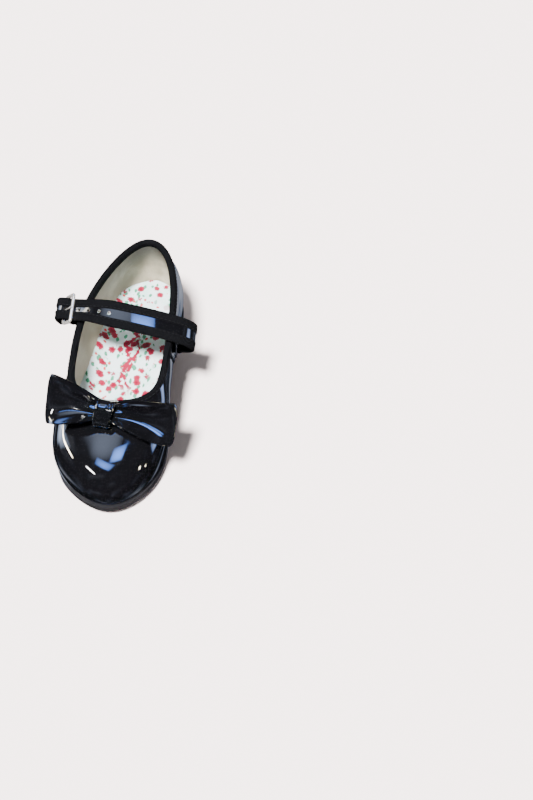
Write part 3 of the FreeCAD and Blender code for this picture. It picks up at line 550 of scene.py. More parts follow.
class Value:
    """A shader socket that takes part in Python expressions."""

    def __init__(self, tree, socket):
        self.tree, self.socket = tree, socket

    def sum(self, operation, *others, clamp=False):
        node = self.tree.nodes.new("ShaderNodeMath")
        node.operation = operation
        node.use_clamp = clamp
        for place, item in zip(node.inputs, (self,) + others):
            if isinstance(item, Value):
                self.tree.links.new(item.socket, place)
            else:
                place.default_value = item
        return Value(self.tree, node.outputs[0])

    def __add__(self, other):
        return self.sum("ADD", other)

    __radd__ = __add__

    def __sub__(self, other):
        return self.sum("SUBTRACT", other)

    def __rsub__(self, other):
        return (self * -1.0) + other

    def __mul__(self, other):
        return self.sum("MULTIPLY", other)

    __rmul__ = __mul__

    def __pow__(self, other):
        return self.sum("POWER", other)

    def sine(self):
        return self.sum("SINE")

    def size(self):
        return self.sum("ABSOLUTE")

    def least(self, other):
        return self.sum("MINIMUM", other)

    def clamped(self):
        return self.sum("ADD", 0.0, clamp=True)


class Finish:
    """A material built round one Principled shader."""

    def __init__(self, name, **constants):
        self.material = bpy.data.materials.new(name)
        self.material.use_nodes = True
        self.tree = self.material.node_tree
        self.shader = self.tree.nodes["Principled BSDF"]
        for socket, value in constants.items():
            self.shader.inputs[socket.replace("_", " ")].default_value = value
        self.place = self.node("ShaderNodeTexCoord", output="Object")

    def node(self, kind, settings=None, inputs=None, output=0):
        node = self.tree.nodes.new(kind)
        for name, value in (settings or {}).items():
            if name == "stops":
                for i, (place, tint) in enumerate(value):
                    stop = (node.color_ramp.elements[i] if i < 2 else node.color_ramp.elements.new(place))
                    stop.position, stop.color = place, (*tint, 1.0)
            else:
                setattr(node, name, value)
        for name, value in (inputs or {}).items():
            if isinstance(value, Value):
                self.tree.links.new(value.socket, node.inputs[name])
            else:
                node.inputs[name].default_value = value
        return Value(self.tree, node.outputs[output])

    def axes(self, place=None):
        source = place or self.place
        return [self.node("ShaderNodeSeparateXYZ", inputs={0: source}, output=axis) for axis in range(3)]

    def uv(self):
        return self.axes(self.node("ShaderNodeTexCoord", output="UV"))[:2]

    def point(self, x, y, z):
        return self.node("ShaderNodeCombineXYZ", inputs={0: x, 1: y, 2: z})

    def moved(self, amount, by, place=None):
        """Place pushed about by a colour or vector, times an amount."""
        step = self.node("ShaderNodeVectorMath", {"operation": "SCALE"}, {0: by, "Scale": amount})
        return self.node("ShaderNodeVectorMath", {"operation": "ADD"}, {0: place or self.place, 1: step})

    def noise(self, scale, detail, place=None, output=0):
        inputs = {"Vector": place or self.place, "Scale": scale, "Detail": detail, "Roughness": 0.5}
        return self.node("ShaderNodeTexNoise", inputs=inputs, output=output)

    def cells(self, scale, place=None, output="Distance", spread=1.0):
        inputs = {"Vector": place or self.place, "Scale": scale, "Randomness": spread}
        return self.node("ShaderNodeTexVoronoi", {"feature": "F1"}, inputs, output)

    def ramp(self, value, low, high):
        """Smooth step from 0 at low to 1 at high, or the other way round where low is the larger."""
        inputs = {"Value": value, "From Min": low, "From Max": high, "To Min": 0.0, "To Max": 1.0}
        return self.node("ShaderNodeMapRange", {"interpolation_type": "SMOOTHSTEP"}, inputs)

    def mix(self, share, first, second):
        def tint(item):
            return item if isinstance(item, Value) else (*item, 1.0)
        return self.node("ShaderNodeMix", {"data_type": "RGBA"}, {0: share, 6: tint(first), 7: tint(second)},
                         output=2)

    def bump(self, height, distance, strength):
        inputs = {"Height": height, "Distance": distance, "Strength": strength}
        return self.node("ShaderNodeBump", inputs=inputs)

    def feed(self, **links):
        for socket, value in links.items():
            self.tree.links.new(value.socket, self.shader.inputs[socket.replace("_", " ")])
        return self.material


FINISHES = {}


def finish(name):
    """A finish by its plain name, made when it is first asked for."""
    if name not in FINISHES:
        FINISHES[name] = globals()[name + "_finish"]()
    return FINISHES[name]


def patent_finish():
    """Black patent: a clear hard skin over dark leather, with a faint orange peel and specks of dust."""
    tint = bpy.context.scene.tap_shoe_colours.patent
    skin = Finish("patent_black", Coat_Weight=1.0, Coat_Roughness=0.02, Coat_IOR=1.5, Specular_IOR_Level=0.5)
    broad, fine = skin.noise(55.0, 1.0), skin.noise(320.0, 2.0)
    dust = skin.ramp(skin.noise(1400.0, 1.0), 0.70, 0.80)
    smear = skin.ramp(skin.noise(90.0, 3.0), 0.50, 0.72)
    base = skin.mix(dust * 0.25, tuple(tint), (0.05, 0.05, 0.052))
    normal = skin.bump(broad + fine * 0.06, 0.0009, 0.32)
    return skin.feed(Base_Color=base, Roughness=0.06 + smear * 0.08 + dust * 0.1, Normal=normal)


def bow_patent_finish():
    """Thinner patent of the bow, a little softer in its shine."""
    tint = bpy.context.scene.tap_shoe_colours.patent
    skin = Finish("patent_bow", Coat_Weight=1.0, Coat_Roughness=0.03, Coat_IOR=1.5, Specular_IOR_Level=0.5)
    broad, fine = skin.noise(140.0, 1.0), skin.noise(600.0, 2.0)
    smear = skin.ramp(skin.noise(160.0, 3.0), 0.48, 0.70)
    base = skin.mix(smear * 0.3, tuple(tint), (0.005, 0.005, 0.007))
    normal = skin.bump(broad + fine * 0.10, 0.0006, 0.40)
    return skin.feed(Base_Color=base, Roughness=0.06 + smear * 0.08, Normal=normal)


def cut_edge_finish():
    """Gathered backing of the bow's ribbon: layers of cloth between skins."""
    edge = Finish("ribbon_edge", Specular_IOR_Level=0.4)
    u, v = edge.uv()
    layers = (v * 60.0 + u * 3.0).sine()
    fuzz = edge.noise(2600.0, 2.0)
    base = edge.mix(edge.ramp(layers + fuzz, 0.2, 1.4), (0.006, 0.006, 0.007), (0.06, 0.06, 0.065))
    normal = edge.bump(layers + fuzz, 0.0002, 0.5)
    return edge.feed(Base_Color=base, Roughness=0.45 + fuzz * 0.3, Normal=normal)


def textile_finish():
    """Matt black woven tape."""
    tint = bpy.context.scene.tap_shoe_colours.textile
    tape = Finish("textile_tape", Specular_IOR_Level=0.04)
    x, y, z = tape.axes()
    warp = ((x + y * 0.6 + z * 0.8) * 7800.0).sine()
    weft = ((x * 0.7 - y - z * 0.6) * 7800.0).sine()
    fuzz = tape.noise(1800.0, 3.0)
    weave = warp * weft
    base = tape.mix(tape.ramp(weave * 0.5 + fuzz, 0.2, 1.2), tuple(tint), (0.0065, 0.0068, 0.0078))
    worn = tape.ramp(tape.noise(70.0, 3.0), 0.55, 0.8)
    base = tape.mix(worn * 0.35, base, (0.009, 0.009, 0.010))
    normal = tape.bump(weave + fuzz, 0.00022, 0.55)
    return tape.feed(Base_Color=base, Roughness=0.82 + fuzz * 0.12, Normal=normal)


def lining_finish():
    """Beige leather-look lining with a pebble grain, rubbed grey where a heel slides, and painted shade that darkens
    it in blotches towards the heel's back.
    """
    tint = bpy.context.scene.tap_shoe_colours.lining
    cloth = Finish("lining_beige", Specular_IOR_Level=0.35)
    grain = cloth.cells(950.0, spread=0.9)
    patch, fine = cloth.noise(38.0, 3.0), cloth.noise(900.0, 2.0)
    x, _, z = cloth.axes()
    rubbed = cloth.ramp(x, 0.016, -0.018) * cloth.ramp(z, 0.034, 0.056) * cloth.ramp(patch, 0.34, 0.60)
    # painted shade: blotchy darkening towards the heel's back, standing in for the shadow inside the heel cup
    damp = cloth.ramp(x, 0.030, -0.012) * cloth.ramp(cloth.noise(60.0, 4.0), 0.36, 0.62)
    base = cloth.mix(cloth.ramp(patch, 0.3, 0.7), tuple(tint), (0.31, 0.275, 0.20))
    # mix in the painted heel shade
    base = cloth.mix(damp * 0.75, base, (0.17, 0.15, 0.10))
    base = cloth.mix(rubbed * 0.70, base, (0.045, 0.043, 0.042))
    base = cloth.mix(grain * 0.25, base, (0.22, 0.20, 0.155))
    normal = cloth.bump(grain + fine * 0.4, 0.00015, 0.5)
    return cloth.feed(Base_Color=base, Roughness=0.52 + fine * 0.18, Normal=normal)


def sock_finish():
    """Pale printed cloth: loose roses, buds and leaves, and a trailing sprig down the middle."""
    colours = bpy.context.scene.tap_shoe_colours
    cloth = Finish("sock_print", Specular_IOR_Level=0.25, Sheen_Weight=0.05)
    wander = cloth.noise(260.0, 2.0, output=1)
    place = cloth.moved(0.0016, wander)
    x, y, _ = cloth.axes(place)
    flat = cloth.point(x, y, 0.0)
    petals = cloth.noise(1100.0, 2.0, flat)
    distance = cloth.cells(175.0, flat) + (petals - 0.5) * 0.42
    chance = cloth.axes(cloth.cells(175.0, flat, output="Color"))
    rose = cloth.ramp(distance, 0.44, 0.34) * cloth.ramp(chance[0], 0.36, 0.38)
    heart = cloth.ramp(distance, 0.24, 0.10)
    leaf_flat = cloth.point(x + 0.0037, y * 1.7 + 0.0021, 0.0)
    leaf_distance = cloth.cells(215.0, leaf_flat) + (petals - 0.5) * 0.34
    leaf_chance = cloth.axes(cloth.cells(215.0, leaf_flat, output="Color"))
    leaf = cloth.ramp(leaf_distance, 0.43, 0.33) * cloth.ramp(leaf_chance[1], 0.28, 0.30)
    bud_flat = cloth.point(x + 0.0113, y + 0.0071, 0.0)
    bud_distance = cloth.cells(230.0, bud_flat) + (petals - 0.5) * 0.2
    bud_chance = cloth.axes(cloth.cells(230.0, bud_flat, output="Color"))
    bud = cloth.ramp(bud_distance, 0.27, 0.19) * cloth.ramp(bud_chance[2], 0.66, 0.68)
    wave = (x * 210.0).sine() * 0.0026 + (x * 83.0).sine() * 0.0012
    curl = (x * 260.0 + 1.9).sine() * 0.0030 + (x * 97.0).sine() * 0.0011
    off = (y + 0.0012 - wave).size().least((y + 0.0030 - curl).size())
    blots = cloth.noise(420.0, 2.0, flat)
    reach = cloth.ramp(x, 0.008, 0.016) * cloth.ramp(x, 0.070, 0.062)
    sprig = cloth.ramp(off - (blots - 0.50) * 0.0085, 0.0014, 0.0009) * reach
    mint = cloth.ramp(cloth.noise(120.0, 2.0), 0.42, 0.70)
    ground = cloth.mix(mint, tuple(colours.sock), (0.40, 0.62, 0.58))
    red = cloth.mix(heart, (0.24, 0.012, 0.036), tuple(colours.rose))
    tint = cloth.mix(leaf, ground, cloth.mix(petals, tuple(colours.leaf), (0.07, 0.27, 0.18)))
    tint = cloth.mix(bud, tint, (0.42, 0.05, 0.05))
    tint = cloth.mix(rose, tint, red)
    tint = cloth.mix(sprig, tint, cloth.mix(petals, tuple(colours.rose), (0.30, 0.02, 0.05)))
    warp = ((x * 9500.0).sine() * (y * 9500.0).sine())
    return cloth.feed(Base_Color=tint, Roughness=0.62 + petals * 0.15, Normal=cloth.bump(warp, 0.00012, 0.4))


def rubber_finish():
    """Black moulded sole, with fine ribs across the waist and scuffs under the ball."""
    rubber = Finish("sole_black", Specular_IOR_Level=0.45)
    x = rubber.axes()[0]
    ribs = (x * 2600.0).sine()
    zone = rubber.ramp(x, 0.022, 0.030) * rubber.ramp(x, 0.092, 0.080)
    grain, scuff = rubber.noise(1500.0, 3.0), rubber.ramp(rubber.noise(75.0, 5.0), 0.52, 0.75)
    base = rubber.mix(scuff * 0.4, (0.010, 0.010, 0.011), (0.035, 0.034, 0.034))
    height = ribs * zone * 0.2 + grain * 0.5
    return rubber.feed(Base_Color=base, Roughness=0.34 + scuff * 0.25 + grain * 0.1,
                       Normal=rubber.bump(height, 0.00025, 0.55))


def heel_finish():
    """Satin black lacquered heel, with a faint mottle and dust."""
    paint = Finish("heel_black", Specular_IOR_Level=0.5, Coat_Weight=0.25, Coat_Roughness=0.28)
    mottle = paint.noise(300.0, 3.0)
    dust = paint.ramp(paint.noise(900.0, 2.0), 0.60, 0.75)
    base = paint.mix(dust * 0.35, (0.008, 0.009, 0.012), (0.04, 0.045, 0.055))
    return paint.feed(Base_Color=base, Roughness=0.33 + mottle * 0.18, Normal=paint.bump(mottle, 0.0002, 0.3))


def board_finish():
    """Black leatherboard under the taps."""
    board = Finish("tap_board_black", Specular_IOR_Level=0.4)
    fibre = board.noise(1200.0, 4.0)
    scuff = board.ramp(board.noise(140.0, 4.0), 0.55, 0.78)
    base = board.mix(scuff * 0.5, (0.009, 0.009, 0.010), (0.045, 0.043, 0.042))
    return board.feed(Base_Color=base, Roughness=0.5 + fibre * 0.25, Normal=board.bump(fibre, 0.0003, 0.45))


def tap_metal_finish():
    """Cast aluminium tap: a dull scratched face and a bright rolled rim."""
    metal = Finish("tap_aluminium", Metallic=0.62)
    x, y, z = metal.axes()
    face = metal.ramp(z, 0.0004, 0.0001)
    streak_place = metal.point(x * 3.0 + y * 1.2, y * 30.0 - x * 9.0, z)
    streaks = metal.ramp(metal.noise(60.0, 6.0, streak_place), 0.48, 0.66)
    cloud = metal.noise(90.0, 5.0)
    pits = metal.ramp(metal.cells(900.0), 0.10, 0.02)
    worn = metal.mix(metal.ramp(cloud, 0.35, 0.65), (0.30, 0.29, 0.27), (0.46, 0.45, 0.43))
    worn = metal.mix(streaks * 0.5, worn, (0.60, 0.59, 0.57))
    worn = metal.mix(pits, worn, (0.10, 0.09, 0.08))
    base = metal.mix(face, (0.80, 0.79, 0.77), worn)
    rough = 0.17 + face * (0.20 + cloud * 0.22)
    normal = metal.bump(cloud * 0.4 + streaks - pits, 0.00012, 0.4)
    return metal.feed(Base_Color=base, Roughness=rough, Normal=normal)


def screw_finish():
    """Rough zinc screws, rusty in the slots."""
    metal = Finish("screw_zinc", Metallic=0.7)
    cloud, pits = metal.noise(700.0, 4.0), metal.ramp(metal.noise(1600.0, 3.0), 0.5, 0.7)
    base = metal.mix(pits, (0.52, 0.50, 0.46), (0.16, 0.12, 0.08))
    normal = metal.bump(cloud + pits, 0.00015, 0.6)
    return metal.feed(Base_Color=base, Roughness=0.30 + cloud * 0.3, Normal=normal)


def buckle_finish():
    """Bright nickel with a few hairline scratches."""
    metal = Finish("buckle_nickel", Metallic=0.82)
    x, y, z = metal.axes()
    hair = metal.ramp(metal.noise(80.0, 5.0, metal.point(x * 60.0, y * 6.0, z * 60.0)), 0.55, 0.7)
    cloud = metal.noise(400.0, 3.0)
    base = metal.mix(cloud, (0.80, 0.78, 0.74), (0.70, 0.68, 0.65))
    return metal.feed(Base_Color=base, Roughness=0.12 + hair * 0.18 + cloud * 0.05,
                      Normal=metal.bump(cloud, 0.00008, 0.3))


def thread_finish():
    """Waxed black thread."""
    thread = Finish("thread_black", Specular_IOR_Level=0.12)
    ply = thread.noise(3200.0, 1.0)
    base = thread.mix(ply, (0.0025, 0.0025, 0.003), (0.008, 0.008, 0.009))
    return thread.feed(Base_Color=base, Roughness=0.55 + ply * 0.25, Normal=thread.bump(ply, 0.0001, 0.5))


def steel_finish():
    """Plain steel of the shank, nails and heel screw."""
    metal = Finish("steel_plain", Metallic=0.9)
    cloud = metal.noise(500.0, 4.0)
    base = metal.mix(cloud, (0.50, 0.50, 0.50), (0.34, 0.33, 0.31))
    return metal.feed(Base_Color=base, Roughness=0.32 + cloud * 0.25)


def stiffener_finish():
    """Grey fibre stiffener and board."""
    fibre = Finish("stiffener_grey")
    speck = fibre.noise(1400.0, 4.0)
    base = fibre.mix(speck, (0.30, 0.27, 0.22), (0.45, 0.41, 0.34))
    return fibre.feed(Base_Color=base, Roughness=0.75 + speck * 0.15, Normal=fibre.bump(speck, 0.0002, 0.5))


# ---------------------------------------------------------------- upper

# Turns from the toe: the side seam at the feather line and at the topline, and the heel seam's edges.
SEAM_FOOT, SEAM_TOP = 5.7 / COUNT, 4.5 / COUNT
BACK_SEAM, BACK_STRIP_TURNS = 0.4985, 0.020


def seam_turn(side, share):
    """Turn of the side seam at a height, on the medial (1) or lateral (-1) side."""
    return side * (SEAM_FOOT + (SEAM_TOP - SEAM_FOOT) * share)


def seam_reach(turn, distance):
    """Turns that make a distance along the upper's side, in millimetres."""
    step = (last_point(turn + 0.002, 0.5) - last_point(turn - 0.002, 0.5)).length / 0.004
    return distance / step


def binding_height():
    return bpy.context.scene.tap_shoe_sizes.binding_height * 1000


def under_binding(turn):
    """Share at which the patent ends, under the topline binding."""
    return below_topline(turn, binding_height() - 1.2)


def on_upper(turn, share, depth):
    """Point and outward normal of the upper, for a row of stitches."""
    return upper_point(turn, share, depth), last_normal(turn, share)


class TAPSHOE_OT_upper(bpy.types.Operator):
    """Vamp and quarters in patent leather, lapped and stitched along the side seams"""
    bl_idname = "tapshoe.upper"
    bl_label = "Upper"

    def ply(self, name, columns, start, end, lap):
        """One piece of patent from turn to turn; lap says how far it stands off where pieces overlap."""
        patent = bpy.context.scene.tap_shoe_sizes.patent_thickness

        def place(u, v):
            turn = start(v) + (end(v) - start(v)) * u
            share = under_binding(turn) * v
            tuck = 0.9 * (1.0 - smooth(0.0, 0.035, share))
            return upper_point(turn, share, lap(turn, v) - tuck)

        obj = laid_grid(name, columns, 40, place)
        walled(obj, patent, 0.0003, offset=-1.0, use_even_offset=True)
        rounded(obj, 50)
        return obj

    def execute(self, context):
        reach = seam_reach(0.28, context.scene.tap_shoe_sizes.seam_lap * 1000)

        def over(side):
            def lap(turn, v):
                away = (seam_turn(side, v) - turn) * side
                return 0.15 + 0.75 * smooth(-1.4 * reach, -0.5 * reach, away)
            return lap

        def under(turn, v):
            side = 1.0 if turn > 0 else -1.0
            away = (turn - seam_turn(side, v)) * side
            return -0.45 * smooth(-1.5 * reach, -0.4 * reach, away)

        vamp = self.ply("vamp_patent", 150, lambda v: seam_turn(-1, v), lambda v: seam_turn(1, v), under)
        medial = self.ply("medial_quarter_patent", 76, lambda v: seam_turn(1, v) - reach,
                          lambda v: BACK_SEAM, over(1))
        lateral = self.ply("lateral_quarter_patent", 76, lambda v: -BACK_SEAM,
                           lambda v: seam_turn(-1, v) + reach, over(-1))
        for obj, node in ((vamp, "vamp"), (medial, "medial_quarter"), (lateral, "lateral_quarter")):
            settle(obj, finish("patent"), "patent", replaced=(node,))
        rows = []
        for side, name in ((1, "medial"), (-1, "lateral")):
            for row, back in enumerate((0.72, 0.36)):
                places = []
                for i in range(120):
                    v = 0.02 + 0.93 * i / 119
                    turn = seam_turn(side, v) - side * reach * back
                    places.append(on_upper(turn, under_binding(turn) * v, 0.93))
                rows.append(stitches(f"{name}_seam_row_{row}", places))
        foot, top = 0.01, under_binding(0.5)
        strip = laid_grid("back_strip_patent", 12, 40, lambda u, v: upper_point(
            0.5 + (u - 0.5) * BACK_STRIP_TURNS, foot + (top - foot) * v, 0.62))
        walled(strip, 0.0008, 0.0002, offset=-1.0)
        rounded(strip, 50)
        settle(strip, finish("patent"), "patent")
        for shift in (-0.34 * BACK_STRIP_TURNS, 0.34 * BACK_STRIP_TURNS):
            rows.append(stitches("back_row", [on_upper(0.5 + shift, 0.03 + 0.84 * i / 79, 0.64)
                                              for i in range(80)]))
        settle(join("upper_stitches", *rows), finish("thread"), "thread")
        return {"FINISHED"}


class TAPSHOE_OT_lining(bpy.types.Operator):
    """Beige lining in two pieces, and the printed sock on the insole"""
    bl_idname = "tapshoe.lining"
    bl_label = "Lining and sock"

    def execute(self, context):
        thickness = context.scene.tap_shoe_sizes.lining_thickness
        for name, node, start, end, depth in (
                ("vamp_lining_cloth", "vamp_lining", -4.95, 4.95, -2.42),
                ("quarter_lining_cloth", "quarter_lining", 4.75, 13.25, -2.36)):
            def place(u, v, start=start, end=end, depth=depth):
                turn = (start + (end - start) * u) / COUNT
                top = below_topline(turn, binding_height() - 1.0)
                share = 0.02 + (top - 0.02) * v
                soft = 0.12 * math.sin(turn * 140) * math.sin(share * 9) * math.sin(math.pi * v)
                return last_point(turn, share) + last_normal(turn, share) * (depth + soft)

            obj = laid_grid(name, 110, 30, place)
            modify(obj, "SOLIDIFY", thickness=thickness, offset=-1.0)
            rounded(obj, 50)
            settle(obj, finish("lining"), "lining", replaced=(node,))
        self.sock()
        return {"FINISHED"}

    def sock(self):
        """Sock liner: follows the insole, crowned a little, its side edges turned up against the lining."""
        inset = 2.9

        def border(turn):
            x, y = closed_point(LAST[0], turn)
            before, after = closed_point(LAST[0], turn - 0.002), closed_point(LAST[0], turn + 0.002)
            out = sideways(before, after)
            return x - out[0] * inset, y - out[1] * inset

        def place(u, v):
            turn = 0.5 * (1.0 - u)
            medial, lateral = border(turn), border(-turn)
            x = lateral[0] + (medial[0] - lateral[0]) * v
            y = lateral[1] + (medial[1] - lateral[1]) * v
            edge = 1.0 - abs(2 * v - 1) ** 6
            end = smooth(0.0, 0.03, u) * smooth(1.0, 0.97, u)
            soft = 0.10 * math.sin(x * 0.21) * math.sin(y * 0.3 + 1.0)
            middle = smooth(0.04, 0.3, u) * smooth(1.0, 0.72, u)
            climb = smooth(0.20, 0.0, v) * middle
            climb_in = smooth(0.86, 1.0, v) * middle
            out = 4.2 * climb ** 0.8
            rise = 3.7 + (0.7 + soft) * edge * end + 9.5 * climb ** 1.4 + 1.6 * climb_in
            return x, y - out + climb_in, feather(x) + rise

        obj = laid_grid("sock_cloth", 120, 40, place, closed=True)
        modify(obj, "SOLIDIFY", thickness=0.0009, offset=-1.0)
        rounded(obj, 50)
        settle(obj, finish("sock"), "sock", replaced=("sock_liner",))


class TAPSHOE_OT_binding(bpy.types.Operator):
    """Textile tape folded over the topline, with its stitching"""
    bl_idname = "tapshoe.binding"
    bl_label = "Topline binding"

    def execute(self, context):
        height = binding_height()
        outer, inner = 0.62, -3.55
        radius, middle = 0.5 * (outer - inner), 0.5 * (outer + inner)
        profile = []
        for i in range(5):
            profile.append((height - (height - radius) * i / 5, outer - (0.35 if i == 0 else 0.0)))
        for i in range(13):
            angle = math.pi * i / 12
            profile.append((radius - radius * math.sin(angle), middle + radius * math.cos(angle)))
        for i in range(1, 6):
            profile.append((radius + (height - radius) * i / 5, inner + (0.25 if i == 5 else 0.0)))
        count = len(profile) - 1

        def place(u, v):
            drop, depth = profile[round(v * count)]
            share = below_topline(u, drop)
            pucker = 0.06 * math.sin(u * 2 * math.pi * 120) * smooth(height - 2.5, height, drop)
            normal = last_normal(u, min(share, 0.985))
            return last_point(u, min(share, 1.0)) + normal * (depth + pucker)

        obj = laid_grid("topline_tape", 300, count, place, closed=True)
        modify(obj, "SUBSURF", levels=1, render_levels=1)
        modify(obj, "SOLIDIFY", thickness=0.0004, offset=-1.0)
        rounded(obj, 60)
        settle(obj, finish("textile"), "binding", replaced=("topline_binding",))
        places = []
        for i in range(420):
            turn = i / 419
            share = below_topline(turn, height - 0.9)
            normal = last_normal(turn, share)
            places.append((last_point(turn, share) + normal * 0.66, normal))
        settle(stitches("topline_stitches", places), finish("thread"), "thread")
        return {"FINISHED"}


# ---------------------------------------------------------------- strap and buckle

STRAP_FOOT, STRAP_LEAN = 39.4, math.radians(26.0)
STRAP_LINE = [
    (29.0, 38.0), (30.4, 43.5), (34.6, 48.8), (39.6, 52.8), (41.8, 57.2), (40.2, 63.3),
    (34.3, 68.2), (22.0, 72.3), (7.0, 74.4), (-9.0, 74.6), (-21.0, 72.2), (-30.1, 68.0),
    (-35.9, 66.2), (-41.6, 64.4), (-44.2, 60.0), (-44.4, 54.0), (-43.3, 47.5),
]
FRONT_BAR, PIN_BAR = (-31.8, 69.6), (-39.1, 62.0)
SKEW, SKEW_MIDDLE = 0.13, -18.0
HOLES, HOLE_PITCH, FIRST_GAP = 5, 6.6, 0.3
HOLE_RADIUS, SLOT_STRETCH = 0.0011, 0.0021
# Half the pin bar with its play, the prong's wire, and the tab's tape.
PIN_ROOM, WIRE_RADIUS = 0.8 + 0.2, 0.55
TAB_HALF, TAB_THICK = 5.6, 0.9
BUCKLE_SHIFT = SKEW * (0.5 * (FRONT_BAR[0] + PIN_BAR[0]) - SKEW_MIDDLE)


def strap_point(y, height, across=0.0):
    """Point in the strap's leaning plane, moved across it, in the drawing's millimetres."""
    lean, rise = math.sin(STRAP_LEAN), math.cos(STRAP_LEAN)
    return Vector((STRAP_FOOT + height * lean + across * rise, y, height * rise - across * lean))


def natural_line(points, count=400):
    """Evenly spaced points on a natural cubic spline through the given points."""
    points = np.array(points, float)
    knots = np.concatenate([[0.0], np.cumsum(np.linalg.norm(np.diff(points, axis=0), axis=1))])
    size, gaps = len(points), np.diff(knots)
    system, right = np.eye(size), np.zeros((size, points.shape[1]))
    for i in range(1, size - 1):
        system[i, i - 1:i + 2] = (gaps[i - 1], 2 * (gaps[i - 1] + gaps[i]), gaps[i])
        right[i] = 6 * ((points[i + 1] - points[i]) / gaps[i] - (points[i] - points[i - 1]) / gaps[i - 1])
    bends = np.linalg.solve(system, right)
    dense = []
    for at in np.linspace(0.0, knots[-1], 4 * count):
        i = min(size - 2, int(np.searchsorted(knots, at, side="right")) - 1)
        gap, left, over = gaps[i], knots[i + 1] - at, at - knots[i]
        dense.append(bends[i] * left ** 3 / (6 * gap) + bends[i + 1] * over ** 3 / (6 * gap)
                     + (points[i] / gap - bends[i] * gap / 6) * left
                     + (points[i + 1] / gap - bends[i + 1] * gap / 6) * over)
    dense = np.array(dense)
    runs = np.concatenate([[0.0], np.cumsum(np.linalg.norm(np.diff(dense, axis=0), axis=1))])
    even = np.linspace(0.0, runs[-1], count)
    return np.stack([np.interp(even, runs, dense[:, k]) for k in range(dense.shape[1])], axis=1)


class StrapLine:
    """The strap's middle line, with its direction and width at each share of its length."""

    def __init__(self, points, wide, slim):
        self.line = natural_line(points)
        self.wide, self.slim = wide, slim

    def at(self, share):
        place = min(max(share, 0.0), 1.0) * (len(self.line) - 1)
        i = min(int(place), len(self.line) - 2)
        point = self.line[i] + (self.line[i + 1] - self.line[i]) * (place - i)
        along = self.line[min(i + 3, len(self.line) - 1)] - self.line[max(i - 2, 0)]
        along = along / np.linalg.norm(along)
        return point, (along[1], -along[0])

    def half(self, share):
        y = self.at(share)[0][0]
        base = self.slim + (self.wide - self.slim) * smooth(-26.0, -4.0, y)
        from_start = share * self.length()
        from_end = (1.0 - share) * self.length()
        for run in (from_start, from_end):
            reach = 0.62 * base if run is from_end else base
            if run < reach:
                base = base * max(0.02, 1.0 - (1.0 - run / reach) ** 2.4) ** (1 / 2.4)
        return base

    def length(self):
        return float(np.sum(np.linalg.norm(np.diff(self.line, axis=0), axis=1)))

    def place(self, share, across, out):
        (y, height), (out_y, out_h) = self.at(share)
        return strap_point(y + out_y * out, height + out_h * out, across + SKEW * (y - SKEW_MIDDLE))

    def outward(self, share):
        return strap_point(*self.at(share)[1]) - strap_point(0.0, 0.0)

    def share_at(self, y):
        """Share of the length, on the upper side, at a sideways place."""
        hits = [i for i in range(60, len(self.line) - 1) if self.line[i][0] <= y]
        return hits[0] / (len(self.line) - 1)


def band_sections(line, shares, half_of, thick):
    """Sections of a flat band with rounded edges and a slight crown, along the strap's line."""
    bulge, corners = 0.12, 3
    sections = []
    for share in shares:
        half = half_of(share)
        section = []
        for sign_a, sign_b, start in ((1, 1, 0.0), (-1, 1, 0.5), (-1, -1, 1.0), (1, -1, 1.5)):
            for k in range(corners + 1):
                angle = math.pi * (start + 0.5 * k / corners)
                edge = 0.5 * thick
                across = sign_a * max(half - edge, 0.05) + edge * math.cos(angle)
                section.append((across, edge * math.sin(angle)))
            if sign_a > 0 and sign_b > 0 or sign_a < 0 and sign_b < 0:
                for k in range(1, 6):
                    across = sign_a * max(half - 0.5 * thick, 0.05) * (1 - k / 3)
                    lift = bulge * (1 - (1 - k / 3) ** 2)
                    section.append((across, sign_b * (0.5 * thick + lift)))
        sections.append([line.place(share, across, out) for across, out in section])
    return sections


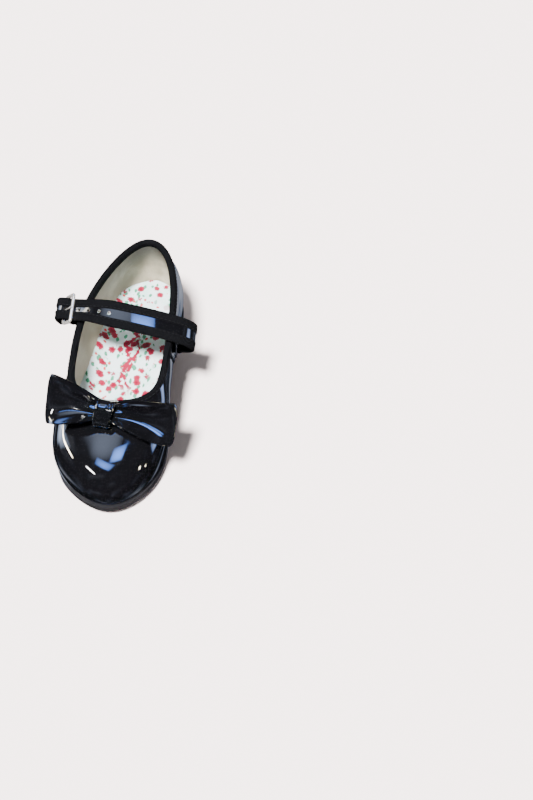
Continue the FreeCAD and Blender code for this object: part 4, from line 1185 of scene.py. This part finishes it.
class TAPSHOE_OT_strap(bpy.types.Operator):
    """Instep strap: patent middle, textile tape along both edges, holes and stitching"""
    bl_idname = "tapshoe.strap"
    bl_label = "Strap"

    def execute(self, context):
        sizes = context.scene.tap_shoe_sizes
        line = StrapLine(STRAP_LINE, sizes.strap_half_width * 1000, sizes.strap_end_half_width * 1000)
        width = sizes.strap_binding_width * 1000
        total = line.length()
        ends = [0.0, 0.15, 0.4, 0.8, 1.4, 2.2, 3.2, 4.5, 6.0]
        shares = [run / total for run in ends] + [6.0 / total + (1.0 - 12.0 / total) * i / 130
                                                 for i in range(1, 130)]
        shares += [1.0 - run / total for run in reversed(ends)]
        core = loft("strap_patent_skin", band_sections(line, shares, lambda s: line.half(s) - 0.35, 1.5))
        subtract(core, *self.punches(line))
        rounded(core, 40)
        tape = join("strap_tapes", *[self.tape(line, shares, side, width) for side in (1, -1)])
        rows = []
        for side in (1, -1):
            for face in (1, -1):
                places = []
                for i in range(300):
                    share = 0.012 + 0.976 * i / 299
                    across = side * max(line.half(share) - (width - 0.9), 0.4)
                    places.append((line.place(share, across, face * 1.36), line.outward(share) * face))
                rows.append(stitches("strap_row", places))
        box = []
        for i in range(60):
            angle = math.pi * (i / 59)
            box.append((line.place((5.2 - 2.6 * math.sin(angle)) / total, 4.6 * math.cos(angle), 1.3),
                        line.outward(0.03)))
        rows.append(stitches("strap_root_row", box))
        thread = join("strap_stitches", *rows)
        start = metres(strap_point(36.0, 46.5, 7.0))
        end = metres(strap_point(31.0, 55.2, 7.0))
        settle(core, finish("patent"), "patent", None, ("strap_root_patent", "strap_patent"))
        settle(tape, finish("textile"), "binding", None, (
            "strap_root_front_binding", "strap_root_rear_binding",
            "strap_front_binding", "strap_rear_binding"))
        settle(thread, finish("thread"), "thread", None)
        for obj in (core, tape, thread):
            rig.blend(obj, "shoe", "strap", start, end)
        return {"FINISHED"}

    def tape(self, line, shares, side, width):
        """One folded tape: over the outer face, round the edge and under."""
        core, cover = 0.78, 0.42
        sections = []
        for share in shares:
            half = line.half(share)
            inner = max(half - width, 0.0)
            outer_ring = [(inner, core + 0.16), (inner + 0.15, core + cover),
                          (inner + 0.5 * (half - inner), core + cover + 0.07)]
            inner_ring = [(inner, core + 0.02)]
            round_edge = []
            for k in range(7):
                angle = math.pi * (0.5 - k / 6)
                reach = min(core + cover, max(half - inner, 0.1))
                round_edge.append((half - reach + reach * math.cos(angle), (core + cover) * math.sin(angle)))
            below = [(across, -out) for across, out in reversed(outer_ring)]
            fold = max(half - cover - 0.25, inner)
            inside = [(inner, -core - 0.02), (fold, -core + 0.05), (fold, core - 0.05)]
            ring = outer_ring + round_edge + below + inside + inner_ring
            sections.append([line.place(share, side * across, out) for across, out in ring])
        obj = loft(f"strap_tape_{'front' if side > 0 else 'rear'}", sections)
        rounded(obj, 55)
        return obj

    def punches(self, line):
        """Cutters for the holes; the first, which the prong goes through, is drawn out to a slot."""
        crossing = 0.5 * (FRONT_BAR[0] + PIN_BAR[0])
        tools = []
        for i in range(HOLES):
            y = crossing + HOLE_PITCH * (i + (FIRST_GAP if i else 0.0))
            share = line.share_at(y)
            middle = metres(line.place(share, 0.0, 0.0))
            outward = line.outward(share).normalized()
            deselect()
            bpy.ops.mesh.primitive_cylinder_add(vertices=32, radius=HOLE_RADIUS, depth=0.008, location=middle,
                                                rotation=outward.to_track_quat("Z", "Y").to_euler())
            tool = added("punch")
            if i == 0:
                along = Vector((0, outward.z, -outward.y)).normalized()
                for vertex in tool.data.vertices:
                    world = tool.matrix_world @ vertex.co - middle
                    push = along * math.copysign(SLOT_STRETCH, world.dot(along) or -1.0)
                    vertex.co = tool.matrix_world.inverted() @ (world + push + middle)
            tools.append(tool)
        return tools


BAR_GAP = math.hypot(FRONT_BAR[0] - PIN_BAR[0], FRONT_BAR[1] - PIN_BAR[1])


def buckle_point(reach, lift, across):
    """Point by its reach from the pin bar to the front bar, its lift off the strap and its place across."""
    along = ((FRONT_BAR[0] - PIN_BAR[0]) / BAR_GAP, (FRONT_BAR[1] - PIN_BAR[1]) / BAR_GAP)
    return strap_point(PIN_BAR[0] + along[0] * reach - along[1] * lift,
                       PIN_BAR[1] + along[1] * reach + along[0] * lift, across + BUCKLE_SHIFT)


class TAPSHOE_OT_buckle(bpy.types.Operator):
    """Nickel buckle with its prong, and the tab that holds it to the quarter"""
    bl_idname = "tapshoe.buckle"
    bl_label = "Buckle and tab"

    def execute(self, context):
        self.frame_ring()
        self.prong()
        self.tab()
        return {"FINISHED"}

    def frame_ring(self):
        sizes = bpy.context.scene.tap_shoe_sizes
        bar = sizes.buckle_bar * 1000
        half = sizes.strap_end_half_width * 1000 + 0.7 + 0.5 * bar
        corner = 1.6
        path = []
        gap = BAR_GAP - 1.0
        for across_sign, along_sign, start in ((1, 1, 0.0), (-1, 1, 0.5), (-1, -1, 1.0), (1, -1, 1.5)):
            for k in range(7):
                angle = math.pi * (start + 0.5 * k / 6)
                path.append((across_sign * (half - corner) + corner * math.cos(angle),
                             along_sign * (0.5 * gap - corner) + corner * math.sin(angle)))
        sections = []
        for i, (across, reach) in enumerate(path):
            before, after = path[i - 1], path[(i + 1) % len(path)]
            side = sideways(before, after)
            section = []
            for k in range(14):
                angle = 2 * math.pi * k / 14
                wide = (0.86 if reach > 0 else 0.58) * bar * squared(math.cos(angle), 0.8)
                lift = 0.5 * bar * squared(math.sin(angle), 0.8)
                at_across, at_reach = across + side[0] * wide, reach + side[1] * wide + 0.5 * gap
                section.append(buckle_point(at_reach, lift, at_across))
            sections.append(section)
        obj = loft("buckle_ring", sections + sections[:1], capped=False)
        modify(obj, "SUBSURF", levels=1, render_levels=1)
        rounded(obj, 60)
        settle(obj, finish("buckle"), "buckle", "buckle", ("buckle_frame",))

    def prong(self):
        """Wire prong: an eye round the pin bar, then a straight run that rests on the front bar."""
        eye = PIN_ROOM + WIRE_RADIUS
        path = []
        for k in range(17):
            angle = math.radians(25 + 320 * k / 16)
            path.append((eye * math.cos(angle), -eye * math.sin(angle)))
        path = path[::-1] + [(3.2, 0.55), (BAR_GAP - 2.2, 1.15), (BAR_GAP - 1.0, 1.42), (BAR_GAP + 0.6, 1.30)]
        smooth_path = natural_line(path, 60)
        sections = []
        for i, (a, b) in enumerate(smooth_path):
            before, after = smooth_path[max(i - 1, 0)], smooth_path[min(i + 1, 59)]
            side = sideways(before, after)
            radius = WIRE_RADIUS * (1.0 if i < 50 else 1.0 - 0.5 * ((i - 50) / 9) ** 2)
            section = []
            for k in range(12):
                angle = 2 * math.pi * k / 12
                pa, pb = a + side[0] * radius * math.cos(angle), b + side[1] * radius * math.cos(angle)
                section.append(buckle_point(pa, pb, radius * math.sin(angle)))
            sections.append(section)
        obj = loft("buckle_wire_prong", sections)
        rounded(obj, 60)
        settle(obj, finish("buckle"), "buckle", "prong", ("buckle_prong",))

    def tab(self):
        """Tape folded round the pin bar, both ends sewn down on the quarter."""
        ring = PIN_ROOM + 0.5
        path = [(-29.4, 36.0), (-30.4, 40.5), (-31.4, 45.0), (-33.4, 50.0), (-36.0, 55.0), (-38.1, 59.0)]
        for k in range(9):
            angle = math.radians(-35 + 275 * k / 8)
            path.append((PIN_BAR[0] + ring * math.cos(angle), PIN_BAR[1] + ring * math.sin(angle)))
        path += [(-39.1, 58.4), (-37.7, 54.6), (-35.6, 51.4)]
        points = natural_line(path, 110)
        sections = []
        for i, (y, height) in enumerate(points):
            before, after = points[max(i - 1, 0)], points[min(i + 1, len(points) - 1)]
            side = sideways(before, after)
            section = []
            for k in range(24):
                angle = 2 * math.pi * k / 24
                across = TAB_HALF * squared(math.cos(angle), 0.25)
                out = 0.5 * TAB_THICK * squared(math.sin(angle), 0.5)
                section.append(strap_point(y + side[0] * out, height + side[1] * out, across + BUCKLE_SHIFT))
            sections.append(section)
        obj = loft("tab_tape", sections)
        deselect()
        bpy.ops.mesh.primitive_cube_add(size=1.0)
        slot = added("slot")
        for vertex in slot.data.vertices:
            a, b, c = vertex.co
            vertex.co = metres(strap_point(PIN_BAR[0] + b * 7.0 - 0.2, PIN_BAR[1] + c * 5.2 + 0.9,
                                           a * 1.9 + BUCKLE_SHIFT))
        subtract(obj, slot)
        rounded(obj, 40)
        settle(obj, finish("textile"), "binding", "shoe", ("anchor_tab",))
        rows = []
        for across in (-4.6, 4.6):
            rows.append(stitches("tab_row", [
                (strap_point(y - 0.55, height, across + BUCKLE_SHIFT),
                 strap_point(-1.0, 0.0) - strap_point(0.0, 0.0))
                for y, height in points[4:34]]))
        settle(join("tab_stitches", *rows), finish("thread"), "thread")


# ---------------------------------------------------------------- bow

BOW_BASE, BOW_RISE, BOW_TURN = Vector((133.2, 1.7, 48.6)), math.radians(50.0), math.radians(5.0)
KNOT_BELOW, KNOT_ABOVE, KNOT_DEEP, KNOT_LIFT, KNOT_SLANT = 9.4, 6.9, 5.6, 0.9, 0.16


def bow_axes():
    up, across = Vector((-math.cos(BOW_RISE), 0, math.sin(BOW_RISE))), Vector((0, 1, 0))
    along = across * math.cos(BOW_TURN) - up * math.sin(BOW_TURN)
    ribbon = up * math.cos(BOW_TURN) + across * math.sin(BOW_TURN)
    return along, ribbon, along.cross(ribbon)


def bow_point(x, y, z):
    """Point in the bow's own axes: along it, up the ribbon, out of its face."""
    along, ribbon, face = bow_axes()
    return BOW_BASE + along * x + ribbon * y + face * z


class TAPSHOE_OT_bow(bpy.types.Operator):
    """Patent bow: two folded loops and the band that gathers them"""
    bl_idname = "tapshoe.bow"
    bl_label = "Bow"

    def loop(self, side):
        """One loop: out along the back, round the end and back along the dished front."""
        sizes = bpy.context.scene.tap_shoe_sizes
        medial = side > 0
        reach = 1000 * (sizes.bow_medial_length if medial else sizes.bow_lateral_length)
        end_half = 500 * (sizes.bow_medial_end if medial else sizes.bow_lateral_end)
        rise = -1.5 if medial else 2.0
        start, pinch = 2.5, 5.2
        dish_depth = 4.6 if medial else 3.8

        def place(u, v):
            w = 2 * v - 1
            front = u > 0.5
            run = 1 - abs(2 * u - 1)
            share = math.sin(0.5 * math.pi * run) ** 0.9
            x = start + (reach - start) * share
            corner = 1.0 - 0.045 * abs(w) ** 5 * smooth(0.75, 1.0, share)
            spread = smooth(-0.10, 1.0, share) ** 0.85
            half = pinch + (end_half - pinch) * spread
            if front:
                half *= 1.0 - 0.10 * math.sin(math.pi * share) * (1 if w < 0 else 0.4)
            belly = 4.0 * math.sin(math.pi * share ** 0.75) ** 0.8
            deep = belly + 1.5 * math.sqrt(max(0.0, 1 - share ** 8)) * share
            z = deep if front else -0.7 * deep
            wave = math.sin(math.pi * min(1.0, share * 0.97))
            if front:
                z -= dish_depth * wave * (1 - w * w) ** 1.2
                z += 2.9 * wave * max(0.0, -w) ** 4
                z += 1.5 * wave * max(0.0, w) ** 6
            else:
                z += 1.1 * wave * abs(w) ** 3
            pleat = math.cos(2.5 * math.pi * w) * max(0.0, 1 - share * 1.9) ** 1.5
            z += (0.8 if front else -0.6) * pleat
            y = w * half + rise * share + (0.9 if medial else 0.3) * math.sin(2 * math.pi * share) * 0.6
            return bow_point(side * x * corner, y, z + 0.6)

        name = "bow_medial_loop_patent" if medial else "bow_lateral_loop_patent"
        obj = laid_grid(name, 110, 48, place)
        if not medial:
            edit_all(obj, (bpy.ops.mesh.flip_normals, {}))
        walled(obj, 0.0012, 0.00048, segments=4, sharp=55.0, offset=0.0)
        rounded(obj, 60)
        settle(obj, finish("bow_patent"), "patent", replaced=(
            "bow_medial_loop" if medial else "bow_lateral_loop",))
        if medial:
            self.pleats(place)

    def pleats(self, place):
        """Gathered backing cloth that shows as fine folds under the medial loop's lower edge."""
        folds = []
        for i in range(4):
            sections = []
            for k in range(31):
                share = k / 30
                middle = place(0.985 - 0.20 * share, 0.012 + 0.030 * i)
                across = place(0.985 - 0.20 * share, 0.052 + 0.030 * i) - middle
                across.normalize()
                out = bow_axes()[2]
                radius = 0.36 * math.sin(math.pi * (0.06 + 0.88 * share)) ** 0.5
                sections.append([middle - out * (0.35 + 0.12 * i) + across * (radius * math.cos(angle))
                                 + out * (radius * math.sin(angle))
                                 for angle in (2 * math.pi * j / 10 for j in range(10))])
            folds.append(loft("bow_fold", sections))
        obj = join("bow_gathers", *folds)
        rounded(obj, 60)
        settle(obj, finish("cut_edge"), "binding")

    def knot(self):
        """Band round the bow's middle, with rolled edges and one crease; it is longer below than above."""
        half = 500 * bpy.context.scene.tap_shoe_sizes.knot_width

        def place(u, v):
            across = (2 * u - 1)
            angle = 2 * math.pi * v
            rim = (1 - abs(across) ** 9) ** 0.5 if abs(across) < 1 else 0.0
            rolled = math.exp(-((abs(across) - 0.80) / 0.13) ** 2)
            crease = math.exp(-((across - 0.22 - 0.12 * math.cos(angle)) / 0.10) ** 2)
            fold = 0.30 * rolled - 0.30 * crease - 0.10 * (1 - across * across)
            low = math.cos(angle) < 0
            wide = (KNOT_BELOW if low else KNOT_ABOVE) + fold - 0.9 * (1 - rim)
            deep = KNOT_DEEP + fold - 0.9 * (1 - rim)
            y = wide * squared(math.cos(angle), 0.85)
            z = deep * squared(math.sin(angle), 0.75) + KNOT_LIFT
            taper = 1.0 + 0.10 * (y / 8.0)
            return bow_point(across * half * taper + KNOT_SLANT * y, y, z)

        obj = laid_grid("bow_knot_patent", 40, 72, place, closed=True)
        face_outwards(obj)
        modify(obj, "SOLIDIFY", thickness=0.0009, offset=-1.0)
        rounded(obj, 60)
        settle(obj, finish("bow_patent"), "patent", replaced=("bow_knot",))

    def execute(self, context):
        self.loop(1)
        self.loop(-1)
        self.knot()
        return {"FINISHED"}


# ---------------------------------------------------------------- sole, heel and taps

class TAPSHOE_OT_sole(bpy.types.Operator):
    """Finishes of the outsole, heel, taps, screws and hidden parts"""
    bl_idname = "tapshoe.sole"
    bl_label = "Sole and taps"

    def execute(self, context):
        finishes = {
            "outsole": "rubber", "heel_block": "heel", "heel_lift": "board", "toe_tap_board": "board",
            "toe_tap": "tap_metal", "heel_tap": "tap_metal", "shank": "steel", "heel_nails": "steel",
            "heel_attaching_screw": "steel", "insole_board": "stiffener", "toe_puff": "stiffener",
            "heel_counter": "stiffener", "bow_tack": "thread",
        }
        for group, places in (("toe", ("front", "inner", "outer")), ("heel", ("back", "inner", "outer"))):
            for place in places:
                finishes[f"{group}_tap_screw_{place}"] = "screw"
        for node, name in finishes.items():
            obj = frame["nodes"][node]
            obj.data.materials.clear()
            obj.data.materials.append(finish(name))
        return {"FINISHED"}


# ---------------------------------------------------------------- stage

CAMERA_PLACE = Vector((0.5233, 0.1895, 0.5728))
CAMERA_RIGHT, CAMERA_UP = Vector((-0.1486, 0.9871, -0.0603)), Vector((-0.763, -0.0756, 0.642))
# Turn and share of the upper that each pane of light faces.
PANES = ((0.31, 0.62), (0.43, 0.70), (0.19, 0.45), (0.57, 0.66), (0.69, 0.58), (0.81, 0.45))
KEY_STRENGTH, KEY_ANGLE, KEY_TINT = 22.0, math.radians(10.0), (1.0, 0.970, 0.950)


class TAPSHOE_OT_stage(bpy.types.Operator):
    """Pale floor, soft lights and camera"""
    bl_idname = "tapshoe.stage"
    bl_label = "Stage"

    def panel_light(self, name, place, target, width, height, tint, power, soft=None):
        """Area light; one with a soft edge only shows in the gloss and lights nothing else."""
        deselect()
        bpy.ops.object.light_add(type="AREA", location=place)
        light = bpy.context.object
        light.name = name
        light.data.shape = "RECTANGLE"
        light.data.size, light.data.size_y = width, height
        light.data.color = tint
        light.data.energy = power
        aim = (Vector(target) - Vector(place)).normalized()
        light.rotation_euler = aim.to_track_quat("-Z", "Y").to_euler()
        if soft is not None:
            light.visible_diffuse = False
            self.fade(light.data, soft)
        return light

    def fade(self, data, soft):
        """Let a panel fade towards its edges, as a curtained window does."""
        data.use_nodes = True
        tree = data.node_tree
        place, parts = tree.nodes.new("ShaderNodeNewGeometry"), tree.nodes.new("ShaderNodeSeparateXYZ")
        tree.links.new(place.outputs["Parametric"], parts.inputs[0])
        share = 1.0
        for axis in (0, 1):
            across = Value(tree, parts.outputs[axis])
            share = (across * (1.0 - across) * 4.0).clamped() ** soft * share
        tree.links.new((share * (1.0 + soft)).socket, tree.nodes["Emission"].inputs["Strength"])

    def mirrored(self, name, turn, share, distance, width, height, tint, power, soft=0.0):
        """Light whose reflection the camera sees at one place on the upper."""
        point = metres(last_point(turn, share))
        normal = last_normal(turn, share)
        sight = (point - CAMERA_PLACE).normalized()
        out = sight - normal * 2 * sight.dot(normal)
        return self.panel_light(name, point + out * distance, point, width, height, tint, power, soft)

    def execute(self, context):
        deselect()
        bpy.ops.mesh.primitive_plane_add(size=40.0)
        floor = added("floor")
        paper = Finish("floor_paper", Specular_IOR_Level=0.1)
        tint = tuple(context.scene.tap_shoe_colours.floor)
        cloud = paper.noise(1.2, 2.0)
        base = paper.mix(paper.ramp(cloud, 0.3, 0.7), tint, tuple(0.985 * c for c in tint))
        paper.feed(Base_Color=base, Roughness=0.9 + cloud * 0.05)
        floor.data.materials.append(paper.material)
        floor.visible_glossy = False
        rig.stage(floor)
        world = context.scene.world or bpy.data.worlds.new("World")
        context.scene.world = world
        world.use_nodes = True
        self.surroundings(world.node_tree)
        deselect()
        bpy.ops.object.light_add(type="SUN", location=(0.80, -0.06, 1.60))
        key = bpy.context.object
        key.name = "key"
        key.rotation_euler = Vector((-0.75, 0.06, -1.60)).to_track_quat("-Z", "Y").to_euler()
        key.data.angle, key.data.energy, key.data.color = KEY_ANGLE, KEY_STRENGTH, KEY_TINT
        fill = self.panel_light("fill", (-0.6, -0.9, 1.7), (0.05, 0.0, 0.0), 1.6, 1.6, (0.99, 0.98, 1.0), 6.0)
        for light in (key, fill):
            light.visible_glossy = False
        pale, blue, warm = (0.62, 0.74, 1.0), (0.16, 0.34, 1.0), (1.0, 0.90, 0.70)
        self.mirrored("window_pale", 0.000, 0.64, 1.2, 0.70, 0.70, pale, 2.0, 1.0)
        self.mirrored("window_blue", 0.034, 0.535, 1.2, 0.30, 0.34, blue, 5.0, 0.5)
        self.mirrored("window_low", 0.008, 0.455, 1.2, 0.56, 0.24, blue, 4.4, 0.6)
        self.mirrored("sill", -0.020, 0.392, 1.2, 0.34, 0.045, (1.0, 1.0, 1.0), 6.0, 0.2)
        self.mirrored("strip", -0.082, 0.50, 1.2, 0.46, 0.050, warm, 7.5, 0.25)
        self.mirrored("lamp", 0.078, 0.34, 1.2, 0.045, 0.20, warm, 2.0, 0.2)
        self.mirrored("lamp_side", 0.090, 0.32, 1.2, 0.03, 0.14, warm, 1.0, 0.2)
        for i, (turn, share) in enumerate(PANES):
            point, normal = metres(last_point(turn, share)), last_normal(turn, share)
            lean = (normal + Vector((0.0, 0.0, 0.30))).normalized()
            tint = pale if i % 3 else blue
            self.panel_light(f"pane_{i}", point + lean * 1.3, point, 0.5, 0.62, tint, 3.2, 0.8)
            if i in (0, 1, 3):
                swing = Vector((-normal.y, normal.x, 0.0)).normalized() * 0.62
                self.panel_light(f"lath_{i}", point + lean * 1.3 + swing, point, 0.05, 0.62, warm, 1.2, 0.3)
        self.camera(context)
        return {"FINISHED"}

    def surroundings(self, tree):
        """Even light on everything, and a dim room with a few pale openings for the gloss to show."""
        plain = tree.nodes["Background"]
        plain.inputs["Color"].default_value = (1.0, 0.985, 0.985, 1.0)
        plain.inputs["Strength"].default_value = 0.36
        room = tree.nodes.new("ShaderNodeBackground")
        sight = tree.nodes.new("ShaderNodeTexCoord")
        blots = tree.nodes.new("ShaderNodeTexNoise")
        blots.inputs["Scale"].default_value, blots.inputs["Detail"].default_value = 2.6, 1.0
        ramp = tree.nodes.new("ShaderNodeValToRGB")
        for i, (place, tint) in enumerate(((0.50, (0.012, 0.013, 0.016)), (0.60, (0.16, 0.20, 0.30)),
                                           (0.70, (0.75, 0.80, 0.95)))):
            stop = ramp.color_ramp.elements[i] if i < 2 else ramp.color_ramp.elements.new(place)
            stop.position, stop.color = place, (*tint, 1.0)
        path, choose = tree.nodes.new("ShaderNodeLightPath"), tree.nodes.new("ShaderNodeMixShader")
        tree.links.new(sight.outputs["Generated"], blots.inputs["Vector"])
        tree.links.new(blots.outputs["Fac"], ramp.inputs["Fac"])
        tree.links.new(ramp.outputs["Color"], room.inputs["Color"])
        parts = tree.nodes.new("ShaderNodeSeparateXYZ")
        tree.links.new(sight.outputs["Generated"], parts.inputs[0])
        height = Value(tree, parts.outputs[2])
        strength = (height * 4.0 - 0.4).clamped() * 0.34 + (height * -2.5).clamped() * 0.7
        tree.links.new(strength.socket, room.inputs["Strength"])
        tree.links.new(path.outputs["Is Glossy Ray"], choose.inputs[0])
        tree.links.new(plain.outputs[0], choose.inputs[1])
        tree.links.new(room.outputs[0], choose.inputs[2])
        tree.links.new(choose.outputs[0], tree.nodes["World Output"].inputs["Surface"])

    def camera(self, context):
        """Camera at the matched angle."""
        deselect()
        bpy.ops.object.camera_add(location=CAMERA_PLACE)
        camera = bpy.context.object
        right, up = CAMERA_RIGHT.normalized(), CAMERA_UP.normalized()
        back = right.cross(up).normalized()
        up = back.cross(right).normalized()
        turn = Matrix((right, up, back)).transposed()
        camera.rotation_euler = turn.to_euler()
        camera.data.lens = 54.0
        camera.data.sensor_width = 36.0
        camera.data.clip_start, camera.data.clip_end = 0.01, 20.0
        context.scene.camera = camera


class TAPSHOE_PT_panel(bpy.types.Panel):
    """Tap shoe pieces"""
    bl_idname = "TAPSHOE_PT_panel"
    bl_label = "Tap shoe"
    bl_space_type = "VIEW_3D"
    bl_region_type = "UI"
    bl_category = "Tap shoe"

    def draw(self, context):
        for operator in OPERATORS:
            self.layout.operator(operator.bl_idname)
        for group in (context.scene.tap_shoe_sizes, context.scene.tap_shoe_colours):
            for name in group.bl_rna.properties.keys():
                if name not in ("rna_type", "name"):
                    self.layout.prop(group, name)


OPERATORS = (TAPSHOE_OT_upper, TAPSHOE_OT_lining, TAPSHOE_OT_binding, TAPSHOE_OT_strap, TAPSHOE_OT_buckle,
             TAPSHOE_OT_bow, TAPSHOE_OT_sole, TAPSHOE_OT_stage)
CLASSES = (TapShoeSizes, TapShoeColours) + OPERATORS + (TAPSHOE_PT_panel,)


def register():
    for item in CLASSES:
        bpy.utils.register_class(item)
    bpy.types.Scene.tap_shoe_sizes = bpy.props.PointerProperty(type=TapShoeSizes)
    bpy.types.Scene.tap_shoe_colours = bpy.props.PointerProperty(type=TapShoeColours)


def unregister():
    del bpy.types.Scene.tap_shoe_colours
    del bpy.types.Scene.tap_shoe_sizes
    for item in reversed(CLASSES):
        bpy.utils.unregister_class(item)


def main():
    register()
    for operator in OPERATORS:
        group, name = operator.bl_idname.split(".")
        getattr(getattr(bpy.ops, group), name)()
    bpy.context.view_layer.update()
    with open("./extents.json", "w") as out:
        json.dump({"cad": CAD_BOX, "visual": [list(corner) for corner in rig.bounds()]}, out)


if __name__ == "__main__":
    main()
